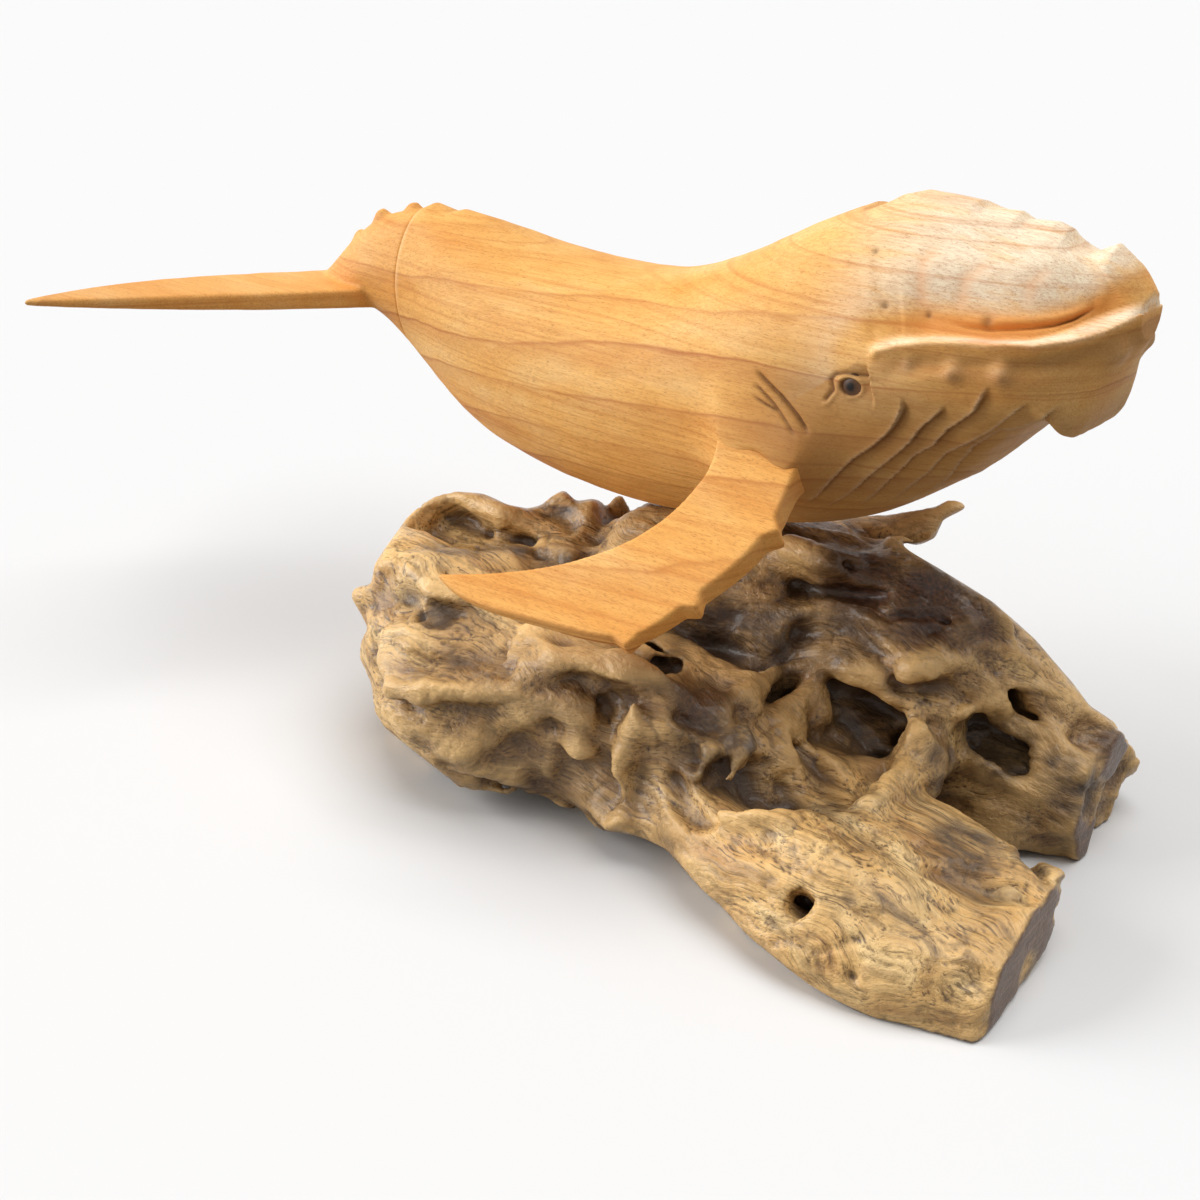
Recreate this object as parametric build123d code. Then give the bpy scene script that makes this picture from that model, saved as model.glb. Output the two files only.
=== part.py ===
"""Carved wooden humpback whale on a gnarled root, held up by one upright pin.

Millimetres, +Z up. The whale heads along +X and its right side faces -Y.
The origin is the point of the flat underside that lies below the pin.
"""
from build123d import *
import os
from collections import namedtuple
from math import copysign, cos, pi, radians, sin

# Sections along the carved block: place, top, bottom, half width, height of the
# widest point, and how square back and belly are (2 is round, less is a keel).
Station = namedtuple("Station", "x top bottom half_width widest back belly")
WHALE_STATIONS = [
    Station(-143.0, 106.8, 101.4, 8.0, 104.0, 2.0, 2.0),
    Station(-126.0, 120.8, 100.6, 9.5, 106.5, 1.7, 2.0),
    Station(-111.0, 128.6, 96.6, 11.0, 110.0, 1.7, 2.0),
    Station(-96.0, 131.8, 86.2, 13.5, 110.5, 1.8, 2.0),
    Station(-78.0, 131.8, 75.4, 19.0, 106.5, 1.9, 2.0),
    Station(-56.0, 128.6, 68.6, 24.3, 101.5, 2.0, 2.0),
    Station(-32.0, 126.8, 65.7, 28.0, 98.0, 2.0, 2.0),
    Station(-8.0, 128.0, 65.2, 29.8, 97.0, 2.0, 2.0),
    Station(16.0, 136.5, 67.6, 30.6, 100.0, 2.0, 2.0),
    Station(38.0, 147.6, 71.6, 30.5, 105.0, 2.0, 2.0),
    Station(57.0, 154.8, 78.6, 30.0, 112.0, 1.8, 2.0),
    Station(75.0, 156.4, 89.8, 29.2, 120.5, 1.5, 2.0),
    Station(85.0, 154.4, 97.6, 27.8, 124.0, 1.4, 2.1),
    Station(93.0, 152.6, 105.2, 25.8, 126.5, 1.4, 2.6),
    Station(103.0, 150.0, 108.4, 20.8, 129.3, 1.4, 3.4),
    Station(108.5, 149.0, 110.6, 15.6, 131.4, 1.5, 3.4),
    Station(111.5, 148.2, 116.5, 12.2, 132.8, 1.6, 2.8),
    Station(116.5, 142.0, 131.6, 5.0, 137.2, 2.0, 2.0),
]
SECTION_POINTS = 16

# Pin between whale and root
PIN_RADIUS = 3.0
PIN_IN_WHALE = 26.0
PIN_IN_ROOT = 44.0
PIN_CHAMFER = 0.8
PIN_CLEARANCE = 0.05
PIN_END_GAP = 0.6
SADDLE_CLEARANCE = 0.3

# Tail: glue joint, dowels and flukes
TAIL_JOINT_X = -100.0
TAIL_DOWEL_RADIUS = 2.5
TAIL_DOWEL_HALF_LENGTH = 11.0
TAIL_DOWEL_HEIGHTS = (104.0, 118.0)
DOWEL_CLEARANCE = 0.05
DOWEL_END_GAP = 0.5
FLUKE_LEADING = [(-112.0, 6.0), (-146.0, 46.0), (-179.0, 83.0)]
FLUKE_TRAILING = [(-179.0, 83.0), (-177.0, 57.0), (-164.0, 29.0), (-142.0, 0.0)]
FLUKE_HEIGHT = 104.4
FLUKE_TIP_RISE = 2.6
FLUKE_ROOT_THICKNESS = 5.8
FLUKE_TIP_THICKNESS = 1.8
FLUKE_HALF_SPAN = 83.0

# Flipper blade, drawn flat: first axis runs out along the blade, second to its leading edge
FLIPPER_ORIGIN = (38.0, -28.0, 97.0)
FLIPPER_NORMAL = (0.114, -0.588, 0.801)
FLIPPER_SPAN_DIRECTION = (-0.683, -0.632, -0.366)
FLIPPER_TRAILING = [(82.7, 0.0), (62.0, 9.0), (48.0, 12.4), (36.0, 12.8), (25.0, 10.0), (13.5, 2.6)]
FLIPPER_LEADING = [
    (0.2, 19.4), (14.4, 30.4), (27.6, 35.0), (41.0, 38.0),
    (50.5, 33.4), (63.0, 23.4), (75.4, 12.4), (82.7, 0.0),
]
FLIPPER_KNOBS = (0.062, 0.30, 0.464)
FLIPPER_KNOB_REACH = 2.8
FLIPPER_ROOT_ANGLE = 51.0
FLIPPER_SEAT_DEPTH = 11.6
FLIPPER_ROOT_THICKNESS = 9.0
FLIPPER_TIP_THICKNESS = 2.2
FLIPPER_DOWEL_RADIUS = 3.0
FLIPPER_DOWEL_IN_BODY = 14.0
FLIPPER_DOWEL_IN_BLADE = 16.0

# Saw teeth along the back: place and rise
CREST_TEETH = [(60.0, 1.4), (74.0, 1.0), (84.0, 1.4), (93.0, 1.6), (107.0, 2.2)]
TAIL_CREST_TEETH = [(-129.0, 1.4), (-119.0, 2.2), (-106.0, 1.9), (-94.5, 2.0), (-84.0, 1.4)]
TOOTH_HALF_LENGTH = 6.5
TOOTH_HALF_WIDTH = 4.0
TOOTH_TIP_SHARE = 0.25
TOOTH_LEAN = 2.5
TOOTH_SINK = 3.0

# Head: upper lip ledge, knobs, eyes and throat pleats
HEAD_PLATE_X = 66.0
LIP_LINE = [(66.0, 124.0), (80.0, 128.6), (95.0, 131.2), (108.0, 134.6), (120.0, 140.4)]
LIP_STEP = 1.6
JAW_KNOBS = [(84.0, 125.0), (96.0, 126.8), (114.5, 131.0)]
JAW_KNOB_RADIUS = 2.6
JAW_KNOB_PROUD = 0.9
EYE_X = 60.5
EYE_HEIGHT = 117.0
EYE_RADIUS = 3.2
EYE_PROUD = 0.8
EYE_DEPTH = 4.0
PLEAT_COUNT = 6
PLEAT_PITCH = 7.6
PLEAT_START = (70.8, 113.8)
PLEAT_BEND = (-5.0, -9.5)
PLEAT_END = (-24.5, -29.5)
PLEAT_RISE = 1.6
PLEAT_WIDTH = 1.3
PLEAT_DEPTH = 1.2

# Root: two lumpy limbs lying side by side, each through rolled oval sections
Limb = namedtuple("Limb", "x y z half_width half_height roll")
FAR_LIMB = [
    Limb(-60.0, -6.0, 40.0, 9.0, 9.0, 0.0),
    Limb(-50.0, -4.0, 30.0, 22.0, 27.0, 10.0),
    Limb(-26.0, 2.0, 22.0, 31.0, 41.0, 25.0),
    Limb(0.0, 6.0, 23.0, 33.0, 46.0, 10.0),
    Limb(24.0, 9.0, 22.0, 34.0, 44.0, -10.0),
    Limb(48.0, 13.0, 20.0, 34.0, 41.0, 5.0),
    Limb(68.0, 16.0, 20.0, 31.0, 38.0, 15.0),
    Limb(86.0, 17.0, 15.0, 29.0, 31.0, 5.0),
    Limb(103.0, 16.0, 11.0, 26.0, 23.0, -8.0),
    Limb(124.0, 15.0, 8.0, 24.0, 19.0, -12.0),
]
NEAR_LIMB = [
    Limb(-77.0, -40.0, 38.0, 12.0, 10.0, 0.0),
    Limb(-70.0, -39.0, 33.0, 26.0, 20.0, 8.0),
    Limb(-54.0, -38.0, 24.0, 34.0, 31.0, -6.0),
    Limb(-30.0, -41.0, 18.0, 37.0, 35.0, 12.0),
    Limb(-4.0, -38.0, 17.0, 33.0, 33.0, 30.0),
    Limb(20.0, -36.0, 15.0, 30.0, 31.0, 12.0),
    Limb(44.0, -39.0, 12.0, 30.0, 27.0, -8.0),
    Limb(68.0, -47.0, 10.0, 31.0, 22.0, 4.0),
    Limb(92.0, -55.0, 9.0, 31.5, 17.0, 12.0),
    Limb(114.0, -56.0, 8.0, 28.0, 12.5, 14.0),
    Limb(140.0, -55.0, 7.0, 23.0, 9.0, 15.0),
]
LIMB_LOBES = 3
LIMB_LOBE_SIZE = 0.06
FAR_SAW_X = 115.0
NEAR_SAW_X = 129.0
NEAR_SAW_TURN = 6.0
RIM_MIDDLE = (-48.0, -26.0, 46.0)
RIM_RADIUS = 23.0
RIM_THICKNESS = 17.0
RIM_TILT = 14.0

# Broken root ends: start, tip, radius at the start and at the tip
Spur = namedtuple("Spur", "start tip start_radius tip_radius")
SPURS = [
    Spur((-66.0, -52.0, 30.0), (-79.0, -58.0, 35.0), 9.0, 2.0),
    Spur((-52.0, -2.0, 46.0), (-48.0, 5.0, 58.0), 7.0, 1.5),
    Spur((-36.0, 2.0, 46.0), (-32.0, 5.0, 58.0), 7.0, 1.5),
    Spur((24.0, 32.0, 46.0), (52.0, 50.0, 61.0), 9.0, 2.0),
    Spur((-8.0, -56.0, 36.0), (43.0, -47.0, 42.0), 12.0, 3.0),
]

# Folds standing on the root: points along the fold, and its radius
Ridge = namedtuple("Ridge", "path radius")
RIDGES = [
    Ridge([(40.0, -14.0, 30.0), (56.0, -8.0, 35.0), (69.0, -7.0, 37.0), (84.0, 3.0, 41.0)], 8.0),
    Ridge([(77.0, -4.0, 39.0), (80.0, -10.0, 28.0), (81.0, -22.0, 18.0), (84.0, -44.0, 15.0)], 8.0),
    Ridge([(54.0, -32.0, 12.0), (53.0, -25.0, 22.0), (54.0, -17.0, 32.0)], 7.0),
    Ridge([(-38.0, -68.0, 27.0), (-22.0, -69.0, 30.0), (-10.0, -65.0, 34.0), (2.0, -58.0, 36.0)], 9.0),
    Ridge([(-46.0, -66.0, 22.0), (-28.0, -70.0, 15.0), (-11.0, -61.0, 9.0), (8.0, -54.0, 7.0)], 9.0),
    Ridge([(28.0, -3.0, 56.0), (46.0, 0.0, 55.0), (60.0, 3.0, 53.0), (75.0, 7.0, 47.0)], 9.0),
    Ridge([(46.0, 15.0, 54.0), (64.0, 13.0, 52.0), (82.0, 11.0, 44.0)], 9.0),
    Ridge([(48.0, -52.0, 29.0), (72.0, -60.0, 23.0), (94.0, -66.0, 19.0), (114.0, -68.0, 12.0)], 9.0),
    Ridge([(-30.0, 22.0, 40.0), (0.0, 32.0, 33.0), (28.0, 37.0, 27.0), (60.0, 42.0, 20.0)], 9.0),
    Ridge([(-46.0, 15.0, 20.0), (-18.0, 28.0, 13.0), (12.0, 34.0, 11.0), (42.0, 39.0, 9.0)], 9.0),
]
RIDGE_END_SHARE = 0.45

# Hollows rotted out of the root: middle, long direction, half length, radius
Hollow = namedtuple("Hollow", "middle direction half_length radius")
HOLLOWS = [
    Hollow((-54.0, -26.0, 61.0), (1.0, 0.5, 0.0), 24.0, 14.0),
    Hollow((62.0, -26.0, 40.0), (1.0, -0.15, -0.2), 26.0, 15.0),
    Hollow((96.0, -6.0, 29.0), (1.0, 0.1, -0.3), 14.0, 8.0),
    Hollow((-20.0, -73.0, 6.0), (1.0, -0.1, 0.1), 17.0, 9.0),
    Hollow((104.0, -21.0, 16.0), (1.0, 0.15, -0.1), 20.0, 7.0),
    Hollow((88.0, -79.0, 18.0), (0.0, 1.0, -0.6), 7.0, 3.6),
    Hollow((-12.0, -77.0, 27.0), (1.0, 0.25, 0.1), 13.0, 5.5),
    Hollow((17.0, -64.0, 36.0), (1.0, 0.3, 0.35), 8.0, 4.5),
    Hollow((25.0, -42.0, 45.0), (-0.4, 0.8, -0.6), 9.0, 3.4),
    Hollow((75.0, -53.0, 31.0), (1.0, 0.75, -0.05), 14.0, 4.0),
    Hollow((13.0, -24.0, 47.0), (1.0, 0.4, 0.0), 15.0, 5.5),
    Hollow((48.0, -13.0, 53.0), (1.0, 0.15, 0.05), 18.0, 4.5),
]
CUT_SPAN = 400.0


def oval_points(x, y, z, half_width, up, down, back, belly):
    """Points round an oval that lies square to X, keeled or boxy above and below by its squareness."""
    points = []
    for step in range(SECTION_POINTS):
        angle = 2 * pi * step / SECTION_POINTS
        across, height = cos(angle), sin(angle)
        shape = 2 / (back if height > 0 else belly)
        reach = up if height > 0 else down
        points.append(Vector(
            x,
            y + half_width * copysign(abs(across) ** shape, across),
            z + reach * copysign(abs(height) ** shape, height),
        ))
    return points


def loft_through(rings):
    """One smooth solid through closed rings of points."""
    return Solid.make_loft([Wire([Spline(*ring, periodic=True)]) for ring in rings])


def whale_block(inset=0.0):
    """The carved block from snout to fluke root, or a copy of it drawn in on all sides."""
    rings = []
    for s in WHALE_STATIONS:
        up = s.top - s.widest - inset
        down = s.widest - s.bottom - inset
        rings.append(oval_points(s.x, 0, s.widest, s.half_width - inset, up, down, s.back, s.belly))
    return loft_through(rings)


def surface_point(solid, axis):
    """The first point where a line coming from outside meets a solid, and the outward normal."""
    hits = [hit for face in solid.faces() for hit in face.find_intersection_points(axis)]
    return min(hits, key=lambda hit: (hit[0] - axis.position).dot(axis.direction))


def side_prism(outline):
    """A side-view face, drawn in X and Z, taken right through the whale."""
    return extrude(outline, CUT_SPAN / 2, dir=(0, 1, 0), both=True)


def crest_teeth(block, teeth):
    """Blunt saw teeth along the middle of the back, leaning to the head."""
    found = []
    for x, rise in teeth:
        top, normal = surface_point(block, Axis((x, 0, CUT_SPAN), (0, 0, -1)))
        seat = Plane(top, x_dir=(normal.Z, 0, -normal.X), z_dir=normal)
        foot = Pos(0, 0, -TOOTH_SINK) * Ellipse(TOOTH_HALF_LENGTH, TOOTH_HALF_WIDTH)
        tip = Ellipse(TOOTH_HALF_LENGTH * TOOTH_TIP_SHARE, TOOTH_HALF_WIDTH * TOOTH_TIP_SHARE)
        found.append(seat * loft([foot, Pos(TOOTH_LEAN, 0, rise) * tip]))
    return found


def jaw_knobs(block):
    """Rounded knobs along the lower lip on both sides."""
    found = []
    for x, height in JAW_KNOBS:
        for side in (-1, 1):
            point, normal = surface_point(block, Axis((x, side * CUT_SPAN, height), (0, -side, 0)))
            centre = point + normal.normalized() * (JAW_KNOB_PROUD - JAW_KNOB_RADIUS)
            found.append(Pos(centre) * Sphere(JAW_KNOB_RADIUS))
    return found


def lip_ledge():
    """What is carved away above the lip line, so that the lower lip and neck stand proud."""
    last_x = LIP_LINE[-1][0]
    mouth = Spline(*[(x, 0, z) for x, z in LIP_LINE])
    corners = [(last_x, 0, LIP_LINE[-1][1]), (last_x, 0, CUT_SPAN)]
    corners += [(HEAD_PLATE_X, 0, CUT_SPAN), (HEAD_PLATE_X, 0, LIP_LINE[0][1])]
    above = make_face([mouth, Polyline(*corners)])
    return side_prism(above) - whale_block(LIP_STEP)


def pleat_face(number):
    """One throat groove seen from the side: a bent strip of even width."""
    start = Vector(PLEAT_START[0] + number * PLEAT_PITCH, 0, PLEAT_START[1] + number * PLEAT_RISE)
    bend = start + Vector(PLEAT_BEND[0], 0, PLEAT_BEND[1])
    end = start + Vector(PLEAT_END[0], 0, PLEAT_END[1])
    aside = (end - start).normalized().cross(Vector(0, 1, 0)) * (PLEAT_WIDTH / 2)
    front = Spline(start + aside, bend + aside, end + aside)
    rear = Spline(end - aside, bend - aside, start - aside)
    return make_face([front, Line(front @ 1, rear @ 0), rear, Line(rear @ 1, front @ 0)])


def throat_pleats():
    """Curved grooves that sweep from the jaw back under the throat."""
    core = whale_block(PLEAT_DEPTH)
    return [side_prism(pleat_face(number)) - core for number in range(PLEAT_COUNT)]


def root_direction():
    """The way the flipper's root points out of the body, in the blade's own drawing."""
    angle = radians(FLIPPER_ROOT_ANGLE)
    return Vector(cos(angle), sin(angle))


def on_seat(point):
    """A point of the blade's edge taken back along the root to the seat line."""
    out = root_direction()
    return Vector(point) - out * (Vector(point).dot(out) + FLIPPER_SEAT_DEPTH)


def blade_plane():
    return Plane(FLIPPER_ORIGIN, x_dir=FLIPPER_SPAN_DIRECTION, z_dir=FLIPPER_NORMAL)


def flipper_blade():
    """The right flipper: a knobbed planform, tapering in thickness from root to tip."""
    back, front = FLIPPER_TRAILING[-1], FLIPPER_LEADING[0]
    root_edge = Polyline(back, on_seat(back), on_seat(front), front)
    leading = Spline(*FLIPPER_LEADING)
    outline = make_face([leading, Spline(*FLIPPER_TRAILING), root_edge])
    for share in FLIPPER_KNOBS:
        outline += Plane(leading @ share, x_dir=leading % share) * RegularPolygon(FLIPPER_KNOB_REACH, 4)
    slab = extrude(outline, FLIPPER_ROOT_THICKNESS, both=True)
    inner, tip = on_seat(front).X, FLIPPER_LEADING[-1][0]
    thick, thin = FLIPPER_ROOT_THICKNESS / 2, FLIPPER_TIP_THICKNESS / 2
    taper = Polyline((inner, 0, -thick), (tip, 0, -thin), (tip, 0, thin), (inner, 0, thick), close=True)
    return blade_plane() * (slab & side_prism(make_face(taper)))


def flipper_peg(radius, spare):
    """The dowel across the flipper's seat, or with spare length and radius the bore for it."""
    out = root_direction()
    seat = (on_seat(FLIPPER_TRAILING[-1]) + on_seat(FLIPPER_LEADING[0])) / 2
    foot = seat - out * (FLIPPER_DOWEL_IN_BODY + spare)
    length = FLIPPER_DOWEL_IN_BODY + FLIPPER_DOWEL_IN_BLADE + 2 * spare
    along = Plane(foot, z_dir=out)
    return blade_plane() * along * Pos(0, 0, length / 2) * Cylinder(radius, length)


def tail_pegs(radius, spare):
    """Dowels across the tail's glue joint, or the bores for them."""
    length = 2 * (TAIL_DOWEL_HALF_LENGTH + spare)
    upright = Cylinder(radius, length)
    return [Pos(TAIL_JOINT_X, 0, z) * Rot(0, 90, 0) * upright for z in TAIL_DOWEL_HEIGHTS]


def flukes():
    """Both lobes of the tail as one thin blade, thickest at the middle and rising to the tips."""
    lobes = []
    for side in (-1, 1):
        leading = Spline(*[(x, side * y) for x, y in FLUKE_LEADING])
        trailing = Spline(*[(x, side * y) for x, y in FLUKE_TRAILING])
        middle = Polyline(trailing @ 1, (FLUKE_LEADING[0][0], 0), leading @ 0)
        lobes.append(make_face([leading, trailing, middle]))
    slab = extrude(lobes[0] + lobes[1], CUT_SPAN / 2, both=True)
    span, rise = FLUKE_HALF_SPAN, FLUKE_HEIGHT + FLUKE_TIP_RISE
    thick, thin = FLUKE_ROOT_THICKNESS / 2, FLUKE_TIP_THICKNESS / 2
    upper = [(0, -span, rise + thin), (0, 0, FLUKE_HEIGHT + thick), (0, span, rise + thin)]
    lower = [(0, span, rise - thin), (0, 0, FLUKE_HEIGHT - thick), (0, -span, rise - thin)]
    top, under = ThreePointArc(*upper), ThreePointArc(*lower)
    section = make_face([top, Line(top @ 1, under @ 0), under, Line(under @ 1, top @ 0)])
    return slab & extrude(section, CUT_SPAN / 2, dir=(1, 0, 0), both=True)


def eye_plane(block):
    """A plane on the right cheek at the eye, facing outward."""
    point, normal = surface_point(block, Axis((EYE_X, -CUT_SPAN, EYE_HEIGHT), (0, 1, 0)))
    return Plane(point, z_dir=normal)


def eye_bead():
    """A peg with a low dome, standing on the XY plane's cheek surface."""
    dome_radius = (EYE_RADIUS ** 2 + EYE_PROUD ** 2) / (2 * EYE_PROUD)
    height = EYE_DEPTH + EYE_PROUD
    peg = Pos(0, 0, height / 2 - EYE_DEPTH) * Cylinder(EYE_RADIUS, height)
    return peg & Pos(0, 0, EYE_PROUD - dome_radius) * Sphere(dome_radius)


def eye_socket():
    depth = EYE_DEPTH + EYE_RADIUS
    return Pos(0, 0, depth / 2 - EYE_DEPTH) * Cylinder(EYE_RADIUS, depth)


def limb(sections):
    """A root limb through lumpy ovals, each rolled about the limb's own length."""
    rings = []
    for s in sections:
        roll = radians(s.roll)
        ring = []
        for step in range(SECTION_POINTS):
            angle = 2 * pi * step / SECTION_POINTS
            lump = 1 + LIMB_LOBE_SIZE * cos(LIMB_LOBES * angle)
            across, height = s.half_width * lump * cos(angle), s.half_height * lump * sin(angle)
            y = s.y + across * cos(roll) - height * sin(roll)
            z = s.z + across * sin(roll) + height * cos(roll)
            ring.append(Vector(s.x, y, z))
        rings.append(ring)
    return loft_through(rings)


def spur_solid(spur):
    """A broken root end that tapers to a blunt tip."""
    length = (Vector(spur.tip) - Vector(spur.start)).length
    cone = Cone(spur.start_radius, spur.tip_radius, length)
    return Plane(spur.start, z_dir=Vector(spur.tip) - Vector(spur.start)) * Pos(0, 0, length / 2) * cone


def ridge_solid(ridge):
    """A fold along a smooth line, thinner at both ends."""
    line = Spline(*ridge.path)
    rings = []
    for point in ridge.path:
        way = line.tangent_at(point)
        at_end = point in (ridge.path[0], ridge.path[-1])
        ring = Circle(ridge.radius * (RIDGE_END_SHARE if at_end else 1))
        rings.append(Plane(point, x_dir=way.cross(Vector(1, 1, 1)), z_dir=way) * ring)
    return loft(rings)


def hollow_solid(hollow):
    """A hole with round ends, drawn along its long direction."""
    reach = hollow.half_length - hollow.radius
    ends = [Pos(0, 0, z) * Sphere(hollow.radius) for z in (-reach, reach)]
    bored = Cylinder(hollow.radius, 2 * reach) + ends
    return Plane(hollow.middle, z_dir=hollow.direction) * bored


def root_solid():
    """The whole root before the pin bore: limbs, rim and spurs, hollowed, folded and sawn flat."""
    far = split(limb(FAR_LIMB), Plane((FAR_SAW_X, 0, 0), z_dir=(1, 0, 0)), keep=Keep.BOTTOM)
    far -= whale_block(-SADDLE_CLEARANCE)
    turn = radians(NEAR_SAW_TURN)
    near_saw = Plane((NEAR_SAW_X, NEAR_LIMB[-1].y, 0), z_dir=(cos(turn), sin(turn), 0))
    near = split(limb(NEAR_LIMB), near_saw, keep=Keep.BOTTOM)
    rim = Pos(*RIM_MIDDLE) * Rot(RIM_TILT, 0, 0) * Torus(RIM_RADIUS, RIM_THICKNESS / 2)
    lump = far + [near, rim] + [spur_solid(spur) for spur in SPURS]
    lump -= [hollow_solid(hollow) for hollow in HOLLOWS]
    lump += [ridge_solid(ridge) for ridge in RIDGES]
    return split(lump, Plane.XY, keep=Keep.TOP)


def pin_solid(radius, foot, top):
    return Pos(0, 0, (foot + top) / 2) * Cylinder(radius, top - foot)


def build():
    block = whale_block()
    belly = surface_point(block, Axis((0, 0, -CUT_SPAN), (0, 0, 1)))[0].Z
    pin_foot, pin_top = belly - PIN_IN_ROOT, belly + PIN_IN_WHALE

    carved = block
    for cut in [lip_ledge()] + throat_pleats():
        carved -= cut
    for raised in crest_teeth(carved, CREST_TEETH + TAIL_CREST_TEETH) + jaw_knobs(carved):
        carved += raised

    glue_joint = Plane((TAIL_JOINT_X, 0, 0), z_dir=(1, 0, 0))
    body = split(carved, glue_joint, keep=Keep.TOP)
    tail = split(carved, glue_joint, keep=Keep.BOTTOM) + flukes()

    right_blade = flipper_blade()
    right_peg = flipper_peg(FLIPPER_DOWEL_RADIUS, 0)
    right_bore = flipper_peg(FLIPPER_DOWEL_RADIUS + DOWEL_CLEARANCE, DOWEL_END_GAP)
    cheek = eye_plane(block)
    right_pieces = {
        "flipper": right_blade - right_bore,
        "flipper_dowel": right_peg,
        "eye": cheek * eye_bead(),
    }
    right_cuts = [right_blade, right_bore, cheek * eye_socket()]
    left_cuts = [mirror(cut, Plane.XZ) for cut in right_cuts]

    tail_bores = tail_pegs(TAIL_DOWEL_RADIUS + DOWEL_CLEARANCE, DOWEL_END_GAP)
    pin_bore = pin_solid(PIN_RADIUS + PIN_CLEARANCE, pin_foot, pin_top + PIN_END_GAP)
    for cut in right_cuts + left_cuts + tail_bores + [pin_bore]:
        body -= cut
    for bore in tail_bores:
        tail -= bore

    nodes = {
        "whale_body": body,
        "tail_flukes": tail,
        "tail_dowels": Compound(tail_pegs(TAIL_DOWEL_RADIUS, 0)),
        "mounting_pin": chamfer(pin_solid(PIN_RADIUS, pin_foot, pin_top).edges(), PIN_CHAMFER),
        "root_base": root_solid() - pin_bore,
    }
    for name, piece in right_pieces.items():
        nodes["right_" + name] = piece
        nodes["left_" + name] = mirror(piece, Plane.XZ)
    return nodes


os.makedirs("parts", exist_ok=True)
for node_name, node_solid in build().items():
    export_step(node_solid, f"parts/{node_name}.step")
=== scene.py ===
import math

import bpy
import numpy as np
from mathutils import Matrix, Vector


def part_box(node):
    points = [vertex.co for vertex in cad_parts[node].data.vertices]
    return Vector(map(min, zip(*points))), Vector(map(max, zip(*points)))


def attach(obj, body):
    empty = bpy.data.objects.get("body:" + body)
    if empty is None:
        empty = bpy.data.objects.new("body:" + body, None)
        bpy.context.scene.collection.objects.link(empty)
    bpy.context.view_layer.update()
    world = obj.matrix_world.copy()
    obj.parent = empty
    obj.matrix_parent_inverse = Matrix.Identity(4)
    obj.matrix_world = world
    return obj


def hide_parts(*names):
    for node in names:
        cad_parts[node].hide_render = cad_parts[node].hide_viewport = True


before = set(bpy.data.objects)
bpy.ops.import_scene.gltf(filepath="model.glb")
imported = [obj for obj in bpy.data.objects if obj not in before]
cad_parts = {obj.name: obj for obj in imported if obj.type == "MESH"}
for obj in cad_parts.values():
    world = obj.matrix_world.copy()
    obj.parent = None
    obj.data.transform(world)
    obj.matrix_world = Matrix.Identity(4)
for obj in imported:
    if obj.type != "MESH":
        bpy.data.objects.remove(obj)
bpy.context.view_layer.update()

import openvdb
from mathutils import Euler, Vector
from mathutils.bvhtree import BVHTree

# Lengths below are millimetres in the CAD frame; pixels are those of the 1200 by 1200 photograph.
MM = 0.001
COARSE = 1.0

# Camera, fitted to the photograph
IMAGE_SIZE = 1200
SENSOR = 36.0
LENS = 52.86
CAMERA_PLACE = (260.79, -352.29, 232.89)
CAMERA_AZIMUTH = 40.0
CAMERA_ELEVATION = 24.0

# Light and floor
SOFT_LIGHTS = {"top_light": ((0.18, 0.14, 1.0), 2.25, 54.0), "side_light": ((-0.85, -0.52, 0.30), 3.1, 46.0)}
WORLD_STRENGTH = 0.25
FLOOR_HALF = 60.0
FLOOR_GREY = 0.78
FLOOR_BOUNCE = 0.35

# Whale hull: x, top, bottom, half width, height of the widest point, squareness of back and belly
HULL = np.array([
    (-143, 106.8, 101.4, 8, 104, 2, 2),
    (-126, 120.8, 100.6, 9.5, 106.5, 1.7, 2),
    (-111, 128.6, 96.6, 11, 110, 1.7, 2),
    (-96, 131.8, 86.2, 13.5, 110.5, 1.8, 2),
    (-78, 131.8, 75.4, 19, 106.5, 1.9, 2),
    (-56, 128.6, 68.6, 24.3, 101.5, 2, 2),
    (-32, 126.8, 65.7, 28, 98, 2, 2),
    (-8, 128, 65.2, 29.8, 97, 2, 2),
    (16, 136.5, 67.6, 30.6, 100, 2, 2),
    (38, 147.6, 71.6, 30.5, 105, 2, 2),
    (57, 154.8, 78.6, 30, 112, 1.8, 2),
    (75, 156.4, 89.8, 29.2, 120.5, 1.5, 2),
    (85, 154.4, 97.6, 27.8, 124, 1.4, 2.1),
    (93, 152.6, 106.2, 25.8, 126.5, 1.4, 2.8),
    (103, 150, 111.8, 20.8, 129.3, 1.4, 4.2),
    (108.5, 149, 111.8, 14.8, 131.4, 1.5, 4.6),
    (111.5, 148.2, 120.5, 10.6, 132.8, 1.6, 2.8),
    (116.5, 142, 131.6, 5, 137.2, 2, 2),
])
TAIL_JOINT_X = -100.0
HULL_STEP = 0.75
HEAD_STEP = 0.42
HEAD_FROM = 40.0
AROUND = 500
PIN_BORE = 3.05
PIN_TOP = 26.0

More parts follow.
